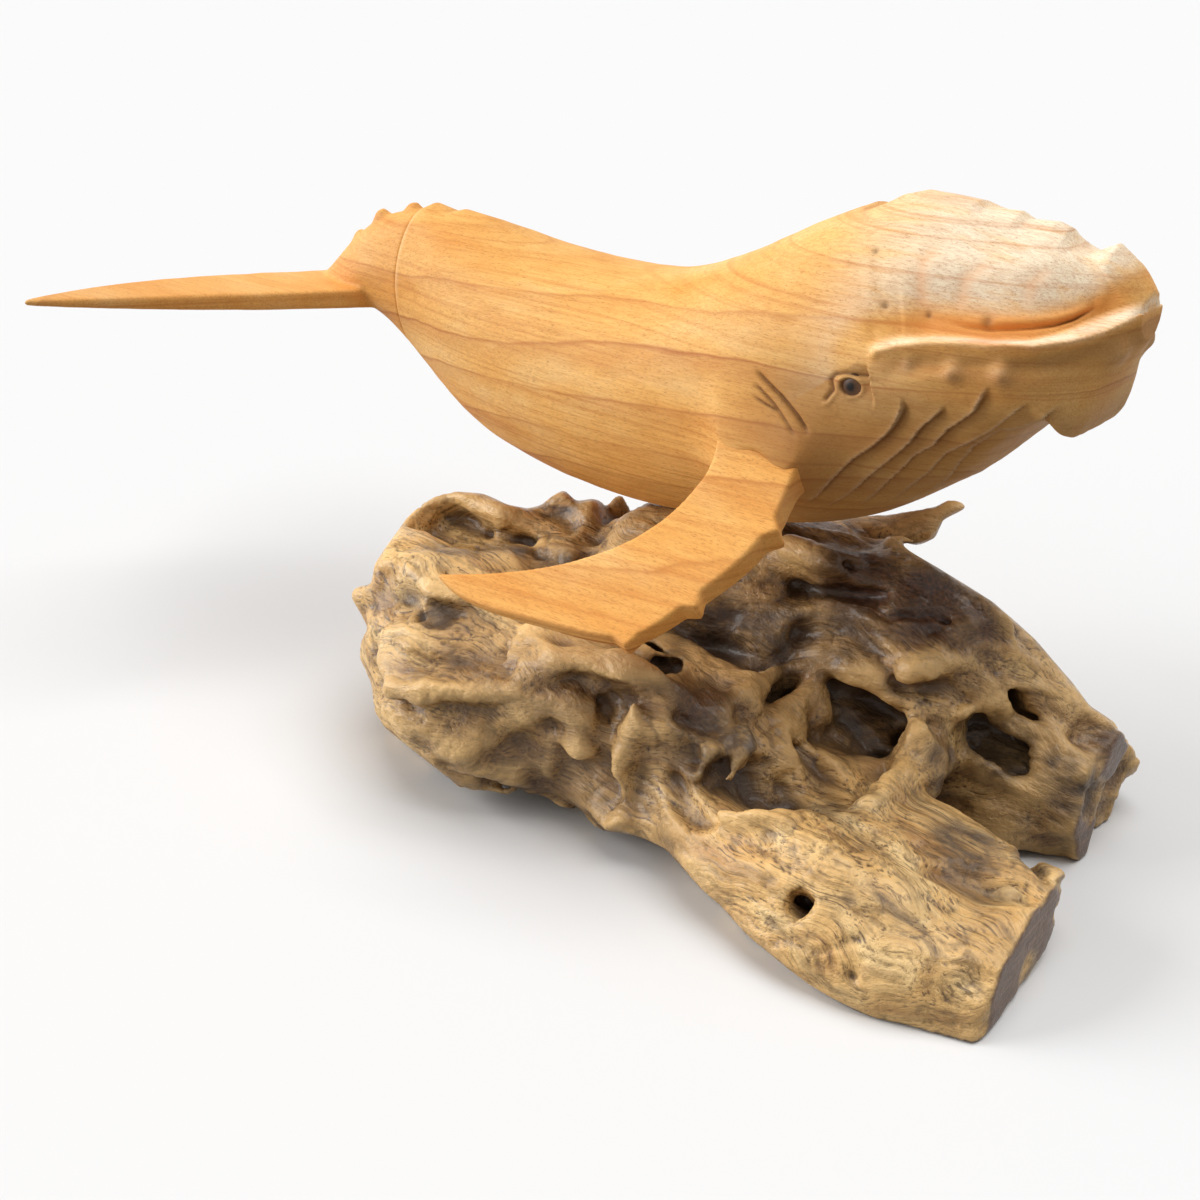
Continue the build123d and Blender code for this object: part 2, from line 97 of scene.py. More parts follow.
# Head carving, as lines in the photograph
LIP = [(866, 357), (878, 350), (898, 345), (929, 342), (962, 343), (986, 345), (1032, 346), (1070, 340),
       (1101, 331), (1131, 318), (1154, 304)]
MOUTH = [(930, 312), (960, 320), (985, 322), (1013, 321), (1032, 320), (1055, 318), (1078, 314), (1106, 303)]
NECK = [(869, 240), (872, 262), (872, 290), (866, 330), (864, 350)]
LOBES = [[(946, 244), (925, 262), (921, 285), (923, 308)],
         [(997, 262), (969, 277), (957, 308)],
         [(1058, 268), (1033, 282), (1031, 303)]]
SNOUT_EDGE = [(1105, 251), (1105, 302)]
JAW_BACK = [(866, 360), (868, 371), (870, 383), (873, 397), (873, 412)]
JAW_KNOBS = [((906, 365), 1.6, 0.7), ((951, 371), 2.1, 1.9), ((1001, 373), 2.3, 2.0), ((1119, 353), 2.6, 1.5)]
NICKS = [((983, 315), 1.3, 0.4), ((882, 304), 0.9, 0.5), ((923, 309), 0.8, 0.4), ((875, 251), 0.7, 0.3)]
PLEATS = [
    [(903, 396), (902, 409), (896, 423), (888, 434), (871, 448), (853, 459), (833, 477), (815, 494), (805, 504)],
    [(947, 404), (936, 416), (920, 430), (910, 444), (896, 456), (871, 476), (850, 494), (826, 508)],
    [(990, 384), (983, 396), (974, 412), (948, 431), (933, 448), (915, 458), (899, 474), (878, 493), (860, 507)],
    [(1030, 401), (1017, 412), (994, 430), (972, 443), (948, 455), (931, 472), (913, 486), (892, 502)],
    [(1061, 405), (1046, 417), (1026, 427), (1001, 434), (976, 449), (960, 465), (947, 481), (927, 493), (910, 501)],
]
EYE = (850, 387)
EYE_HALF = (2.4, 1.8)
LID = [(826, 399), (833, 390), (831, 379), (836, 374), (845, 373), (858, 375), (866, 376)]
FLIPPER_CREASES = [([(755, 368), (765, 380), (782, 396), (800, 415), (815, 433)], 0.60, 1.2),
                   ([(753, 381), (775, 403), (803, 434)], 0.50, 0.9),
                   ([(752, 394), (768, 404), (784, 413)], 0.45, 0.6)]

# Saw-toothed outline of the back on the middle plane, as x and z, over the tail and over the head
TAIL_CREST = np.array([(-143, 107.1), (-134.5, 113.6), (-128, 120.2), (-119.6, 126.4), (-115.5, 125.1),
                       (-106.5, 131.2), (-102.5, 130.2), (-95, 133.4), (-88.5, 131.8), (-84, 132.9), (-72.8, 131.5)])
HEAD_CREST = np.array([(48.3, 150.3), (55.4, 154.6), (61.2, 156.3), (68.8, 155.8), (74.5, 155.6), (76.8, 154.3),
                       (84.6, 154.6), (86.8, 153.2), (93.2, 153.6), (96.3, 152.6), (99.2, 149.3), (103.2, 148.4),
                       (107.4, 150.9), (111, 148.6)])
CREST_WIDTH = 4.5
FILLET = 8.0
SHOULDER = 13.0
FLIPPER_PLACE = (38.0, -28.0, 97.0)
FLIPPER_SPAN = (-0.683, -0.632, -0.366)
FLIPPER_NORMAL = (0.114, -0.588, 0.801)
FLIPPER_ROOT_ANGLE = 51.0
FLIPPER_ROOT_EDGE = (-8.9, 12.0)
FLIPPER_SEAT = 11.6
FLIPPER_INSIDE = 9.0
FLIPPER_THICK = 8.6

# Root: places in the photograph with sizes in millimetres
ROOT_STEP = 0.85
ROOT_BASINS = [
    ((795, 752), -4, (30.0, 12.0, 6.0), 1.0),
    ((468, 540), -8, (19.0, 7.0, 3.0), 0.5),
    ((1000, 752), 14, (17.0, 9.0, 5.0), 1.0),
    ((980, 885), 16, (14.0, 4.0, 2.5), 0.5),
]
ROOT_RIDGES = [
    ([(393, 546), (420, 513), (448, 498), (473, 498), (500, 508), (527, 518), (549, 534), (562, 546)], 5.4, 4.2, 0.0),
    ([(436, 716), (470, 722), (500, 720), (526, 712)], 6.0, 5.4, 0.1),
    ([(545, 698), (566, 706), (584, 724)], 6.6, 6.0, 0.2),
    ([(522, 681), (547, 661), (577, 661), (612, 664), (640, 677), (686, 680), (728, 690)], 4.0, 1.8, 0.35),
    ([(421, 687), (453, 690), (494, 682), (522, 680)], 3.4, 2.6, 0.1),
    ([(441, 722), (453, 760), (460, 787), (478, 792), (506, 784), (538, 792), (571, 812)], 3.0, 2.4, 0.1),
    ([(651, 718), (643, 744), (637, 771), (640, 800)], 4.0, 3.4, -0.3),
    ([(560, 690), (548, 730), (560, 770)], 4.0, 3.0, -0.3),
    ([(734, 697), (790, 691), (841, 689), (888, 699), (916, 712), (928, 741), (915, 775), (880, 800)], 4.0, 3.4, -0.1),
    ([(916, 683), (958, 660), (986, 644)], 3.6, 2.6, -0.3),
    ([(740, 742), (748, 722), (766, 720), (778, 738), (770, 758)], 2.4, 2.2, 0.1),
    ([(797, 722), (806, 734)], 5.4, 4.6, 0.0),
    ([(700, 745), (730, 775), (790, 812)], 3.0, 2.6, -0.1),
    ([(795, 557), (838, 570), (878, 578), (905, 592)], 3.4, 2.4, 0.0),
    ([(890, 560), (930, 585), (965, 615)], 3.6, 3.0, 0.0),
    ([(345, 602), (362, 622)], 3.0, 2.0, 0.1),
    ([(370, 690), (400, 705), (430, 745)], 3.2, 2.4, -0.1),
    ([(960, 730), (1000, 722), (1040, 740), (1046, 765)], 2.6, 2.2, 0.0),
]
ROOT_SCOOPS = [
    ((437, 623), 0, (5.0, 4.0, 2.0), 0.5),
    ((415, 632), 60, (2.6, 1.6, 2.6), 0.5),
    ((673, 657), 80, (3.4, 2.8, 7.0), 3.0),
    ((516, 806), 8, (10.0, 4.2, 7.0), 2.0),
    ((876, 736), 20, (9.0, 6.5, 8.0), 2.0),
    ((826, 787), -6, (13.0, 3.0, 6.0), 2.0),
    ((712, 762), 55, (8.0, 4.0, 5.0), 1.0),
    ((1004, 755), 12, (9.5, 4.6, 5.0), 1.0),
    ((757, 741), 0, (3.0, 3.0, 3.0), 1.0),
    ((809, 902), 25, (3.4, 2.0, 4.0), 1.5),
    ((830, 610), 8, (16.0, 3.4, 4.0), 1.0),
    ((856, 944), 0, (0.9, 0.9, 1.6), 0.4),
    ((852, 979), 0, (1.4, 1.0, 1.6), 0.4),
    ((932, 973), 0, (1.2, 0.8, 1.6), 0.4),
    ((972, 982), 0, (2.4, 1.0, 1.0), 0.3),
]
ROOT_CRACKS = [
    ([(660, 783), (690, 803), (723, 816)], 0.9),
    ([(852, 959), (892, 969), (929, 975)], 0.8),
    ([(796, 553), (838, 564), (877, 570), (902, 578), (916, 584), (939, 609)], 1.2),
    ([(776, 598), (843, 598), (888, 617), (936, 615), (967, 637)], 1.4),
    ([(1012, 828), (1020, 846), (1030, 862), (1048, 880)], 2.4),
    ([(932, 879), (965, 879), (998, 899), (1021, 925)], 1.1),
]
ROOT_RED = [((860, 575), 13.0), ((925, 600), 12.0), ((968, 628), 9.0), ((700, 692), 9.0), ((655, 690), 6.0),
            ((612, 815), 6.0), ((1115, 745), 5.0)]
# Dark patches on the root: a few are its own dark marks in the wood; most are painted shade in hollows and on the far
# stub's face, and painted shadow under the whale
ROOT_BLACK = [((868, 738), 10.0), ((826, 793), 11.0), ((1000, 752), 9.0), ((516, 806), 9.0), ((673, 657), 4.0),
              ((965, 848), 9.0), ((720, 630), 11.0), ((708, 750), 9.0), ((950, 770), 8.0), ((437, 623), 5.0),
              ((455, 549), 8.0), ((505, 552), 8.0), ((780, 640), 12.0), ((850, 640), 9.0), ((1030, 862), 5.0),
              ((750, 740), 7.0), ((1060, 770), 7.0), ((1085, 800), 9.0), ((560, 560), 6.0)]
ROOT_SPURS = [((-66, -52, 30), (-79, -58, 35), 8.0, 2.0), ((-52, -2, 46), (-48, 5, 58), 6.0, 1.5),
              ((-36, 2, 46), (-32, 5, 58), 6.0, 1.5), ((24, 34, 47), (51, 50, 62), 10.0, 3.4),
              ((24, 34, 44), (42, 50, 54), 9.0, 4.0)]
# Outline of the root in the photograph, carried on behind the whale
ROOT_OUTLINE = [
    (438, 496), (455, 492), (484, 494), (507, 505), (527, 509), (541, 506), (553, 496), (564, 490),
    (576, 502), (593, 499), (610, 505), (613, 287), (865, 287), (865, 516), (891, 515), (937, 507),
    (949, 496), (969, 507), (943, 519), (934, 539), (917, 545), (894, 539), (908, 551), (937, 568),
    (960, 582), (992, 602), (1015, 622), (1035, 640), (1052, 660), (1072, 683), (1089, 706), (1127, 731),
    (1137, 743), (1135, 757), (1144, 757), (1143, 780), (1127, 820), (1098, 866), (1081, 877), (1061, 881),
    (1055, 887), (1066, 889), (1076, 901), (1063, 929), (1023, 987), (983, 1041), (972, 1047), (920, 1047),
    (891, 1033), (851, 1010), (805, 981), (776, 958), (748, 935), (722, 906), (702, 889), (682, 866),
    (667, 849), (644, 838), (621, 832), (587, 829), (553, 827), (524, 826), (489, 813), (466, 794),
    (452, 780), (415, 751), (386, 728), (375, 711), (372, 683), (360, 657), (362, 640), (369, 628),
    (360, 611), (351, 596), (355, 588), (372, 585), (375, 565), (386, 548), (409, 516), (426, 502)
]
OUTLINE_STEP = 2
FAR_SAW_X = 115.0
NEAR_SAW = (129.0, -55.0)
NEAR_SAW_TURN = 6.0
SADDLE_GAP = 0.3
SEAT_HEIGHT = 62.0

RANDOM = {"warp": 11, "lumps": 23, "folds": 37, "grain": 41, "tool": 53}


# Numbers and meshes

def srgb(red, green, blue):
    """Linear colour from the 0 to 255 values that a picture shows."""
    share = np.array((red, green, blue)) / 255
    linear = np.where(share <= 0.04045, share / 12.92, ((share + 0.055) / 1.055) ** 2.4)
    return (*[float(value) for value in linear], 1.0)


def smoothstep(low, high, value):
    share = np.clip((value - low) / (high - low), 0, 1)
    return share * share * (3 - 2 * share)


def unit(vectors):
    return vectors / np.maximum(np.linalg.norm(vectors, axis=-1, keepdims=True), 1e-9)


def point_noise(points, size, seed):
    """Smooth random values of about unit spread; size is one length or one for each axis."""
    table = np.random.default_rng(seed).standard_normal((32, 32, 32))
    place = points / np.array(size)
    cell = np.floor(place).astype(int)
    share = place - cell
    share = share * share * (3 - 2 * share)
    total = np.zeros(len(points))
    for corner in np.ndindex(2, 2, 2):
        weight = np.prod(np.where(corner, share, 1 - share), axis=1)
        near = (cell + corner) % 32
        total += weight * table[near[:, 0], near[:, 1], near[:, 2]]
    return total * 1.6


def cubic_through(knots, values, at):
    """Natural cubic spline through the values (one column each) at the knots."""
    gaps = np.diff(knots)
    count = len(knots)
    matrix = np.zeros((count, count))
    right = np.zeros((count, values.shape[1]))
    matrix[0, 0] = matrix[-1, -1] = 1
    for row in range(1, count - 1):
        matrix[row, row - 1:row + 2] = gaps[row - 1], 2 * (gaps[row - 1] + gaps[row]), gaps[row]
        right[row] = 6 * ((values[row + 1] - values[row]) / gaps[row]
                          - (values[row] - values[row - 1]) / gaps[row - 1])
    bend = np.linalg.solve(matrix, right)
    span = np.clip(np.searchsorted(knots, at) - 1, 0, count - 2)
    width = gaps[span][:, None]
    after = (at - knots[span])[:, None]
    before = width - after
    return ((bend[span] * before ** 3 + bend[span + 1] * after ** 3) / (6 * width)
            + (values[span] / width - bend[span] * width / 6) * before
            + (values[span + 1] / width - bend[span + 1] * width / 6) * after)


def new_piece(name, points, faces, material, body, marks=()):
    """A smooth mesh piece from points in millimetres, with named point values for its shader."""
    mesh = bpy.data.meshes.new(name)
    sizes = np.array([len(face) for face in faces]) if isinstance(faces, list) else np.full(len(faces), 4)
    corners = np.concatenate([np.asarray(face) for face in faces]) if isinstance(faces, list) else faces.ravel()
    mesh.vertices.add(len(points))
    mesh.vertices.foreach_set("co", (np.asarray(points) * MM).astype(np.float32).ravel())
    mesh.loops.add(len(corners))
    mesh.loops.foreach_set("vertex_index", corners.astype(np.int32))
    mesh.polygons.add(len(sizes))
    mesh.polygons.foreach_set("loop_start", np.concatenate(([0], np.cumsum(sizes)[:-1])).astype(np.int32))
    mesh.polygons.foreach_set("use_smooth", np.ones(len(sizes), bool))
    for key, values in dict(marks).items():
        mesh.attributes.new(key, "FLOAT", "POINT").data.foreach_set("value", values.astype(np.float32))
    mesh.update(calc_edges=True)
    mesh.validate()
    mesh.materials.append(material)
    piece = bpy.data.objects.new(name, mesh)
    bpy.context.scene.collection.objects.link(piece)
    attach(piece, body)
    return piece


def node_mesh(name):
    """Points in millimetres and triangles of a CAD node."""
    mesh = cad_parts[name].data
    mesh.calc_loop_triangles()
    points = np.empty(len(mesh.vertices) * 3, np.float32)
    mesh.vertices.foreach_get("co", points)
    triangles = np.empty(len(mesh.loop_triangles) * 3, np.int32)
    mesh.loop_triangles.foreach_get("vertices", triangles)
    return points.reshape(-1, 3) / MM, triangles.reshape(-1, 3).astype(np.uint32)


# Camera rays

def camera_turn():
    return Euler((math.radians(90 - CAMERA_ELEVATION), 0, math.radians(CAMERA_AZIMUTH)))


def pixel_ray(pixel):
    across = (pixel[0] / IMAGE_SIZE - 0.5) * SENSOR / LENS
    up = (0.5 - pixel[1] / IMAGE_SIZE) * SENSOR / LENS
    return (camera_turn().to_matrix() @ Vector((across, up, -1))).normalized()


def pick(target, pixel):
    """The point and outward normal that the camera sees at a pixel, or the nearest to that ray."""
    tree, corners = target
    start = Vector(CAMERA_PLACE)
    ray = pixel_ray(pixel)
    place, normal, _, _ = tree.ray_cast(start, ray)
    if place is None:
        offset = corners - np.array(start)
        along = offset @ np.array(ray)
        away = np.linalg.norm(offset - along[:, None] * np.array(ray), axis=1)
        place, normal, _, _ = tree.find_nearest(Vector(corners[away.argmin()]))
    if normal.dot(ray) > 0:
        normal = -normal
    return np.array(place), np.array(normal)


def pick_line(tree, pixels):
    return np.array([pick(tree, pixel)[0] for pixel in pixels])


def from_line(points, normals, line):
    """For each point: distance to a line of points, side of it (+ left of its run) and way along it."""
    best = np.full(len(points), 1e9)
    side = np.zeros(len(points))
    way = np.zeros(len(points))
    done = 0.0
    for start, end in zip(line[:-1], line[1:]):
        run = end - start
        length = np.linalg.norm(run)
        share = np.clip((points - start) @ run / length ** 2, 0, 1)
        offset = points - start - share[:, None] * run
        gap = np.linalg.norm(offset, axis=1)
        nearer = gap < best
        left = np.einsum("ij,ij->i", np.cross(normals, run / length), offset)
        best = np.where(nearer, gap, best)
        side = np.where(nearer, np.sign(left), side)
        way = np.where(nearer, done + share * length, way)
        done += length
    return best, side, way, done


# Distance fields on a grid

class Field:
    """Distances to a surface in millimetres, negative inside, on a regular grid."""

    def __init__(self, low, high, step):
        self.low = np.array(low, float)
        self.step = step
        self.shape = tuple(np.ceil((np.array(high) - low) / step).astype(int) + 1)
        self.values = None

    def of_mesh(self, points, triangles, reach):
        local = ((points - self.low) / self.step).astype(np.float32)
        band = reach / self.step
        level = openvdb.FloatGrid.createLevelSetFromPolygons(
            local, triangles=triangles, exBandWidth=band, inBandWidth=band)
        out = np.empty(self.shape, np.float32)
        level.copyToArray(out)
        return out * self.step

    def axes(self, box=None):
        ranges = box or [slice(0, count) for count in self.shape]
        return np.meshgrid(*[self.low[axis] + self.step * np.arange(part.start, part.stop)
                             for axis, part in enumerate(ranges)], indexing="ij", sparse=True)

    def box_about(self, low, high):
        first = np.floor((np.array(low) - self.low) / self.step).astype(int)
        last = np.ceil((np.array(high) - self.low) / self.step).astype(int) + 1
        return tuple(slice(max(0, a), max(0, min(b, count))) for a, b, count in zip(first, last, self.shape))

    def merge(self, box, other, soft, cut=False):
        """Union with another field over a part of the grid, or its removal, with a rounded seam."""
        mine = self.values[box]
        if cut:
            mine = -mine
        share = np.clip(0.5 + 0.5 * (other - mine) / soft, 0, 1)
        joined = other * (1 - share) + mine * share - soft * share * (1 - share)
        self.values[box] = -joined if cut else joined

    def tube(self, line, radii, soft, cut=False):
        reach = max(radii) + 3 * soft
        box = self.box_about(line.min(axis=0) - reach, line.max(axis=0) + reach)
        x, y, z = self.axes(box)
        gap = None
        for k in range(len(line) - 1):
            run = line[k + 1] - line[k]
            share = ((x - line[k][0]) * run[0] + (y - line[k][1]) * run[1] + (z - line[k][2]) * run[2])
            share = np.clip(share / (run @ run), 0, 1)
            away = np.sqrt((x - line[k][0] - share * run[0]) ** 2 + (y - line[k][1] - share * run[1]) ** 2
                           + (z - line[k][2] - share * run[2]) ** 2)
            away -= radii[k] + (radii[k + 1] - radii[k]) * share
            gap = away if gap is None else np.minimum(gap, away)
        self.merge(box, gap, soft, cut)

    def scoop(self, middle, turn, radii, soft, rough):
        """Cut an ellipsoid whose axes are the rows of turn, with an uneven rim."""
        reach = max(radii) + 3 * soft
        box = self.box_about(middle - reach, middle + reach)
        x, y, z = self.axes(box)
        near = 0
        far = 0
        for row, radius in zip(turn, radii):
            along = (x - middle[0]) * row[0] + (y - middle[1]) * row[1] + (z - middle[2]) * row[2]
            near = near + (along / radius) ** 2
            far = far + (along / radius ** 2) ** 2
        near = np.sqrt(near)
        gap = near * (near - 1) / np.maximum(np.sqrt(far), 1e-6)
        self.merge(box, gap + 0.16 * min(radii) * rough[box], soft, cut=True)

    def sample(self, points, values=None):
        grid = self.values if values is None else values
        place = (points - self.low) / self.step
        cell = np.clip(np.floor(place).astype(int), 0, np.array(self.shape) - 2)
        share = np.clip(place - cell, 0, 1)
        total = np.zeros(len(points))
        for corner in np.ndindex(2, 2, 2):
            weight = np.prod(np.where(corner, share, 1 - share), axis=1)
            near = cell + corner
            total += weight * grid[near[:, 0], near[:, 1], near[:, 2]]
        return total

    def noise(self, size, seed):
        """Smooth random values of unit spread over the whole grid; size is a length for each axis."""
        weights = [spline_weights(count, part / self.step) for count, part in zip(self.shape, size)]
        lattice = [part.shape[1] for part in weights]
        values = np.random.default_rng(seed).standard_normal(lattice).astype(np.float32)
        for axis, part in enumerate(weights):
            values = np.moveaxis(np.tensordot(part, values, axes=(1, axis)), 0, axis)
        return values / values.std()

    def blurred(self, radius):
        """The field averaged three times over a box of the given half width."""
        half = max(1, int(round(radius / self.step)))
        values = self.values
        for _ in range(3):
            for axis in range(3):
                padded = np.pad(values, [(half + 1, half) if k == axis else (0, 0) for k in range(3)], "edge")
                sums = np.cumsum(padded, axis=axis, dtype=np.float64)
                count = self.shape[axis]
                upper = np.take(sums, range(2 * half + 1, 2 * half + 1 + count), axis=axis)
                lower = np.take(sums, range(0, count), axis=axis)
                values = ((upper - lower) / (2 * half + 1)).astype(np.float32)
        return values

    def soften(self, passes):
        for _ in range(passes):
            for axis in range(3):
                padded = np.pad(self.values, [(1, 1) if k == axis else (0, 0) for k in range(3)], "edge")
                count = self.shape[axis]
                parts = [np.take(padded, range(k, k + count), axis=axis) for k in range(3)]
                self.values = (parts[0] + 2 * parts[1] + parts[2]) / 4

    def surface(self):
        """Quads of the zero surface, wound outwards."""
        grid = openvdb.FloatGrid(float(self.values.max()))
        grid.copyFromArray(np.ascontiguousarray(self.values, dtype=np.float32))
        points, quads = grid.convertToQuads(0.0)
        points = points * self.step + self.low
        quads = quads.astype(np.int64)
        a, b, c, d = (points[quads[:, k]] for k in range(4))
        volume = np.einsum("ij,ij->", a, np.cross(b, c)) + np.einsum("ij,ij->", a, np.cross(c, d))
        if volume < 0:
            quads = quads[:, ::-1]
        return points, quads


def spline_weights(count, spacing):
    """Cubic spline weights that spread lattice values, spaced so many samples apart, over the samples."""
    place = np.arange(count) / spacing
    cell = np.floor(place).astype(int)
    t = place - cell
    weights = np.zeros((count, cell.max() + 4), np.float32)
    rows = np.arange(count)
    weights[rows, cell] = (1 - t) ** 3 / 6
    weights[rows, cell + 1] = (3 * t ** 3 - 6 * t ** 2 + 4) / 6
    weights[rows, cell + 2] = (-3 * t ** 3 + 3 * t ** 2 + 3 * t + 1) / 6
    weights[rows, cell + 3] = t ** 3 / 6
    return weights


def vertex_normals(points, quads):
    across = points[quads[:, 2]] - points[quads[:, 0]]
    other = points[quads[:, 3]] - points[quads[:, 1]]
    face = np.cross(across, other)
    total = np.zeros_like(points)
    for corner in range(4):
        for axis in range(3):
            total[:, axis] += np.bincount(quads[:, corner], face[:, axis], len(points))
    return unit(total)


# Shader helpers

def start_shader(name):
    material = bpy.data.materials.new(name)
    material.use_nodes = True
    tree = material.node_tree
    return material, tree, tree.nodes["Principled BSDF"]


def add_node(tree, kind, inputs=None, **settings):
    node = tree.nodes.new(kind)
    for key, value in settings.items():
        setattr(node, key, value)
    for key, value in (inputs or {}).items():
        if isinstance(value, bpy.types.NodeSocket):
            tree.links.new(value, node.inputs[key])
        else:
            node.inputs[key].default_value = value
    return node


def maths(tree, operation, first, second=0.0, third=0.0):
    inputs = {0: first, 1: second, 2: third}
    return add_node(tree, "ShaderNodeMath", inputs, operation=operation).outputs[0]


def stretched(tree, place, scale):
    return add_node(tree, "ShaderNodeVectorMath", {0: place, 1: scale}, operation="MULTIPLY").outputs[0]


def noise(tree, place, scale, detail=3.0, rough=0.5, warp=0.0):
    """Noise over the place in millimetres; scale holds cycles in a millimetre for each axis."""
    inputs = {"Vector": stretched(tree, place, scale), "Scale": 1.0, "Detail": detail, "Roughness": rough,
              "Distortion": warp}
    return add_node(tree, "ShaderNodeTexNoise", inputs).outputs["Fac"]


def ramp(tree, value, stops):
    node = add_node(tree, "ShaderNodeValToRGB", {"Fac": value})
    elements = node.color_ramp.elements
    while len(elements) < len(stops):
        elements.new(0.5)
    for element, (place, colour) in zip(elements, stops):
        element.position = place
        element.color = colour if isinstance(colour, tuple) else (colour, colour, colour, 1)
    return node.outputs["Color"]


def mix(tree, share, first, second, mode="MIX"):
    node = add_node(tree, "ShaderNodeMix", data_type="RGBA", blend_type=mode)
    for index, value in ((0, share), (6, first), (7, second)):
        if isinstance(value, bpy.types.NodeSocket):
            tree.links.new(value, node.inputs[index])
        else:
            node.inputs[index].default_value = value
    return node.outputs[2]


def mark(tree, name):
    return add_node(tree, "ShaderNodeAttribute", attribute_name=name).outputs["Fac"]


def place_mm(tree):
    place = add_node(tree, "ShaderNodeTexCoord").outputs["Object"]
    return stretched(tree, place, (1000, 1000, 1000))


# Materials

RING_STEP = 12.0
RING_TILT = 0.085
RING_BOW = 0.0006


def carved_wood(name, shift=0.0, warm_tint_and_painted_shade=0.0):
    """Pale plank wood: sheets of growth rings that lie nearly flat, long fibres and short dark pores."""
    material, tree, surface = start_shader(name)
    place = place_mm(tree)
    axes = add_node(tree, "ShaderNodeSeparateXYZ", {0: place}).outputs
    level = maths(tree, "MULTIPLY_ADD", axes["X"], -RING_TILT, axes["Z"])
    bow = maths(tree, "MULTIPLY", maths(tree, "MULTIPLY", axes["Y"], axes["Y"]), RING_BOW)
    level = maths(tree, "ADD", level, bow)
    for scale, height in (((0.007, 0.018, 0.018), 17.0), ((0.001, 0.001, 0.055), 15.0), ((0.03, 0.09, 0.09), 3.0),
                          ((0.10, 0.5, 0.5), 0.7)):
        level = maths(tree, "MULTIPLY_ADD", noise(tree, place, scale, 2), height, level)
    ring = maths(tree, "MULTIPLY_ADD", level, 1 / RING_STEP, shift)
    phase = maths(tree, "FRACT", ring)
    strength = add_node(tree, "ShaderNodeTexWhiteNoise", {"W": maths(tree, "FLOOR", ring)},
                        noise_dimensions="1D").outputs["Value"]
    fade = noise(tree, place, (0.012, 0.03, 0.03), 2)
    strength = maths(tree, "MULTIPLY", ramp(tree, strength, [(0.0, 0.25), (0.9, 1.0)]),
                     ramp(tree, fade, [(0.35, 0.35), (0.6, 1.0)]))
    wood = ramp(tree, noise(tree, place, (0.018, 0.05, 0.05), 4, 0.6),
                [(0.30, srgb(250, 204, 134)), (0.50, srgb(246, 188, 106)), (0.70, srgb(234, 164, 78))])
    late = ramp(tree, phase, [(0.45, 0.0), (0.87, 0.42), (0.925, 1.0), (0.95, 0.3), (0.975, 0.0)])
    wood = mix(tree, maths(tree, "MULTIPLY", late, strength), wood, srgb(172, 92, 40))
    streak = ramp(tree, noise(tree, place, (0.035, 0.30, 0.30), 5, 0.65), [(0.34, 0.50), (0.50, 1.0)])
    # Painted highlight: lighter wood where the head plate, the lip's upper face, the jaw knobs and the pleat edges
    # catch the light
    wood = mix(tree, maths(tree, "MULTIPLY", mark(tree, "painted_highlight"), streak), wood, srgb(255, 238, 208))
    fine = noise(tree, stretched(tree, place, (0.02, 0.02, 1.0)), (0.3, 0.3, 0.9), 3, 0.6)
    wood = mix(tree, ramp(tree, fine, [(0.50, 0.0), (0.70, 0.5)]), wood, srgb(196, 116, 50))
    # Flippers and tail are mixed as a whole towards darker orange: partly their own tint, and on the flippers partly
    # painted shade that tones down their lit upper faces
    if warm_tint_and_painted_shade:
        wood = mix(tree, warm_tint_and_painted_shade, wood, srgb(220, 138, 60))
    fibre = noise(tree, place, (0.05, 1.7, 1.7), 6, 0.7)
    wood = mix(tree, ramp(tree, fibre, [(0.34, 0.36), (0.58, 0.0)]), wood, srgb(190, 118, 58))
    pores = noise(tree, place, (0.7, 3.6, 3.6), 4, 0.75)
    wood = mix(tree, ramp(tree, pores, [(0.53, 0.0), (0.68, 0.6)]), wood, srgb(158, 90, 38))
    # Painted shade: darker orange where shade falls in the channel above the lip and beside the lobes
    wood = mix(tree, mark(tree, "warm_tint_and_painted_shade"), wood, srgb(216, 136, 66))
    # Painted shade: darker brown over the jaw under the lip, the cheek and the throat
    wood = mix(tree, mark(tree, "shade"), wood, srgb(138, 98, 58))
    # Painted shade in the mouth groove, round the eye, along the lid, in the flipper's gouges and below each pleat
    # edge, and the dark knot specks
    wood = mix(tree, mark(tree, "crease_shade_and_knots"), wood, srgb(92, 52, 26))
    wood = mix(tree, mark(tree, "glue"), wood, srgb(246, 222, 176))
    tree.links.new(wood, surface.inputs["Base Color"])
    shine = ramp(tree, fibre, [(0.3, 0.66), (0.7, 0.54)])
    tree.links.new(shine, surface.inputs["Roughness"])
    surface.inputs["Specular IOR Level"].default_value = 0.22
    relief = maths(tree, "MULTIPLY_ADD", pores, -0.6, fibre)
    bump = add_node(tree, "ShaderNodeBump", {"Height": relief, "Strength": 0.16, "Distance": 0.0004})
    tree.links.new(bump.outputs["Normal"], surface.inputs["Normal"])
    return material


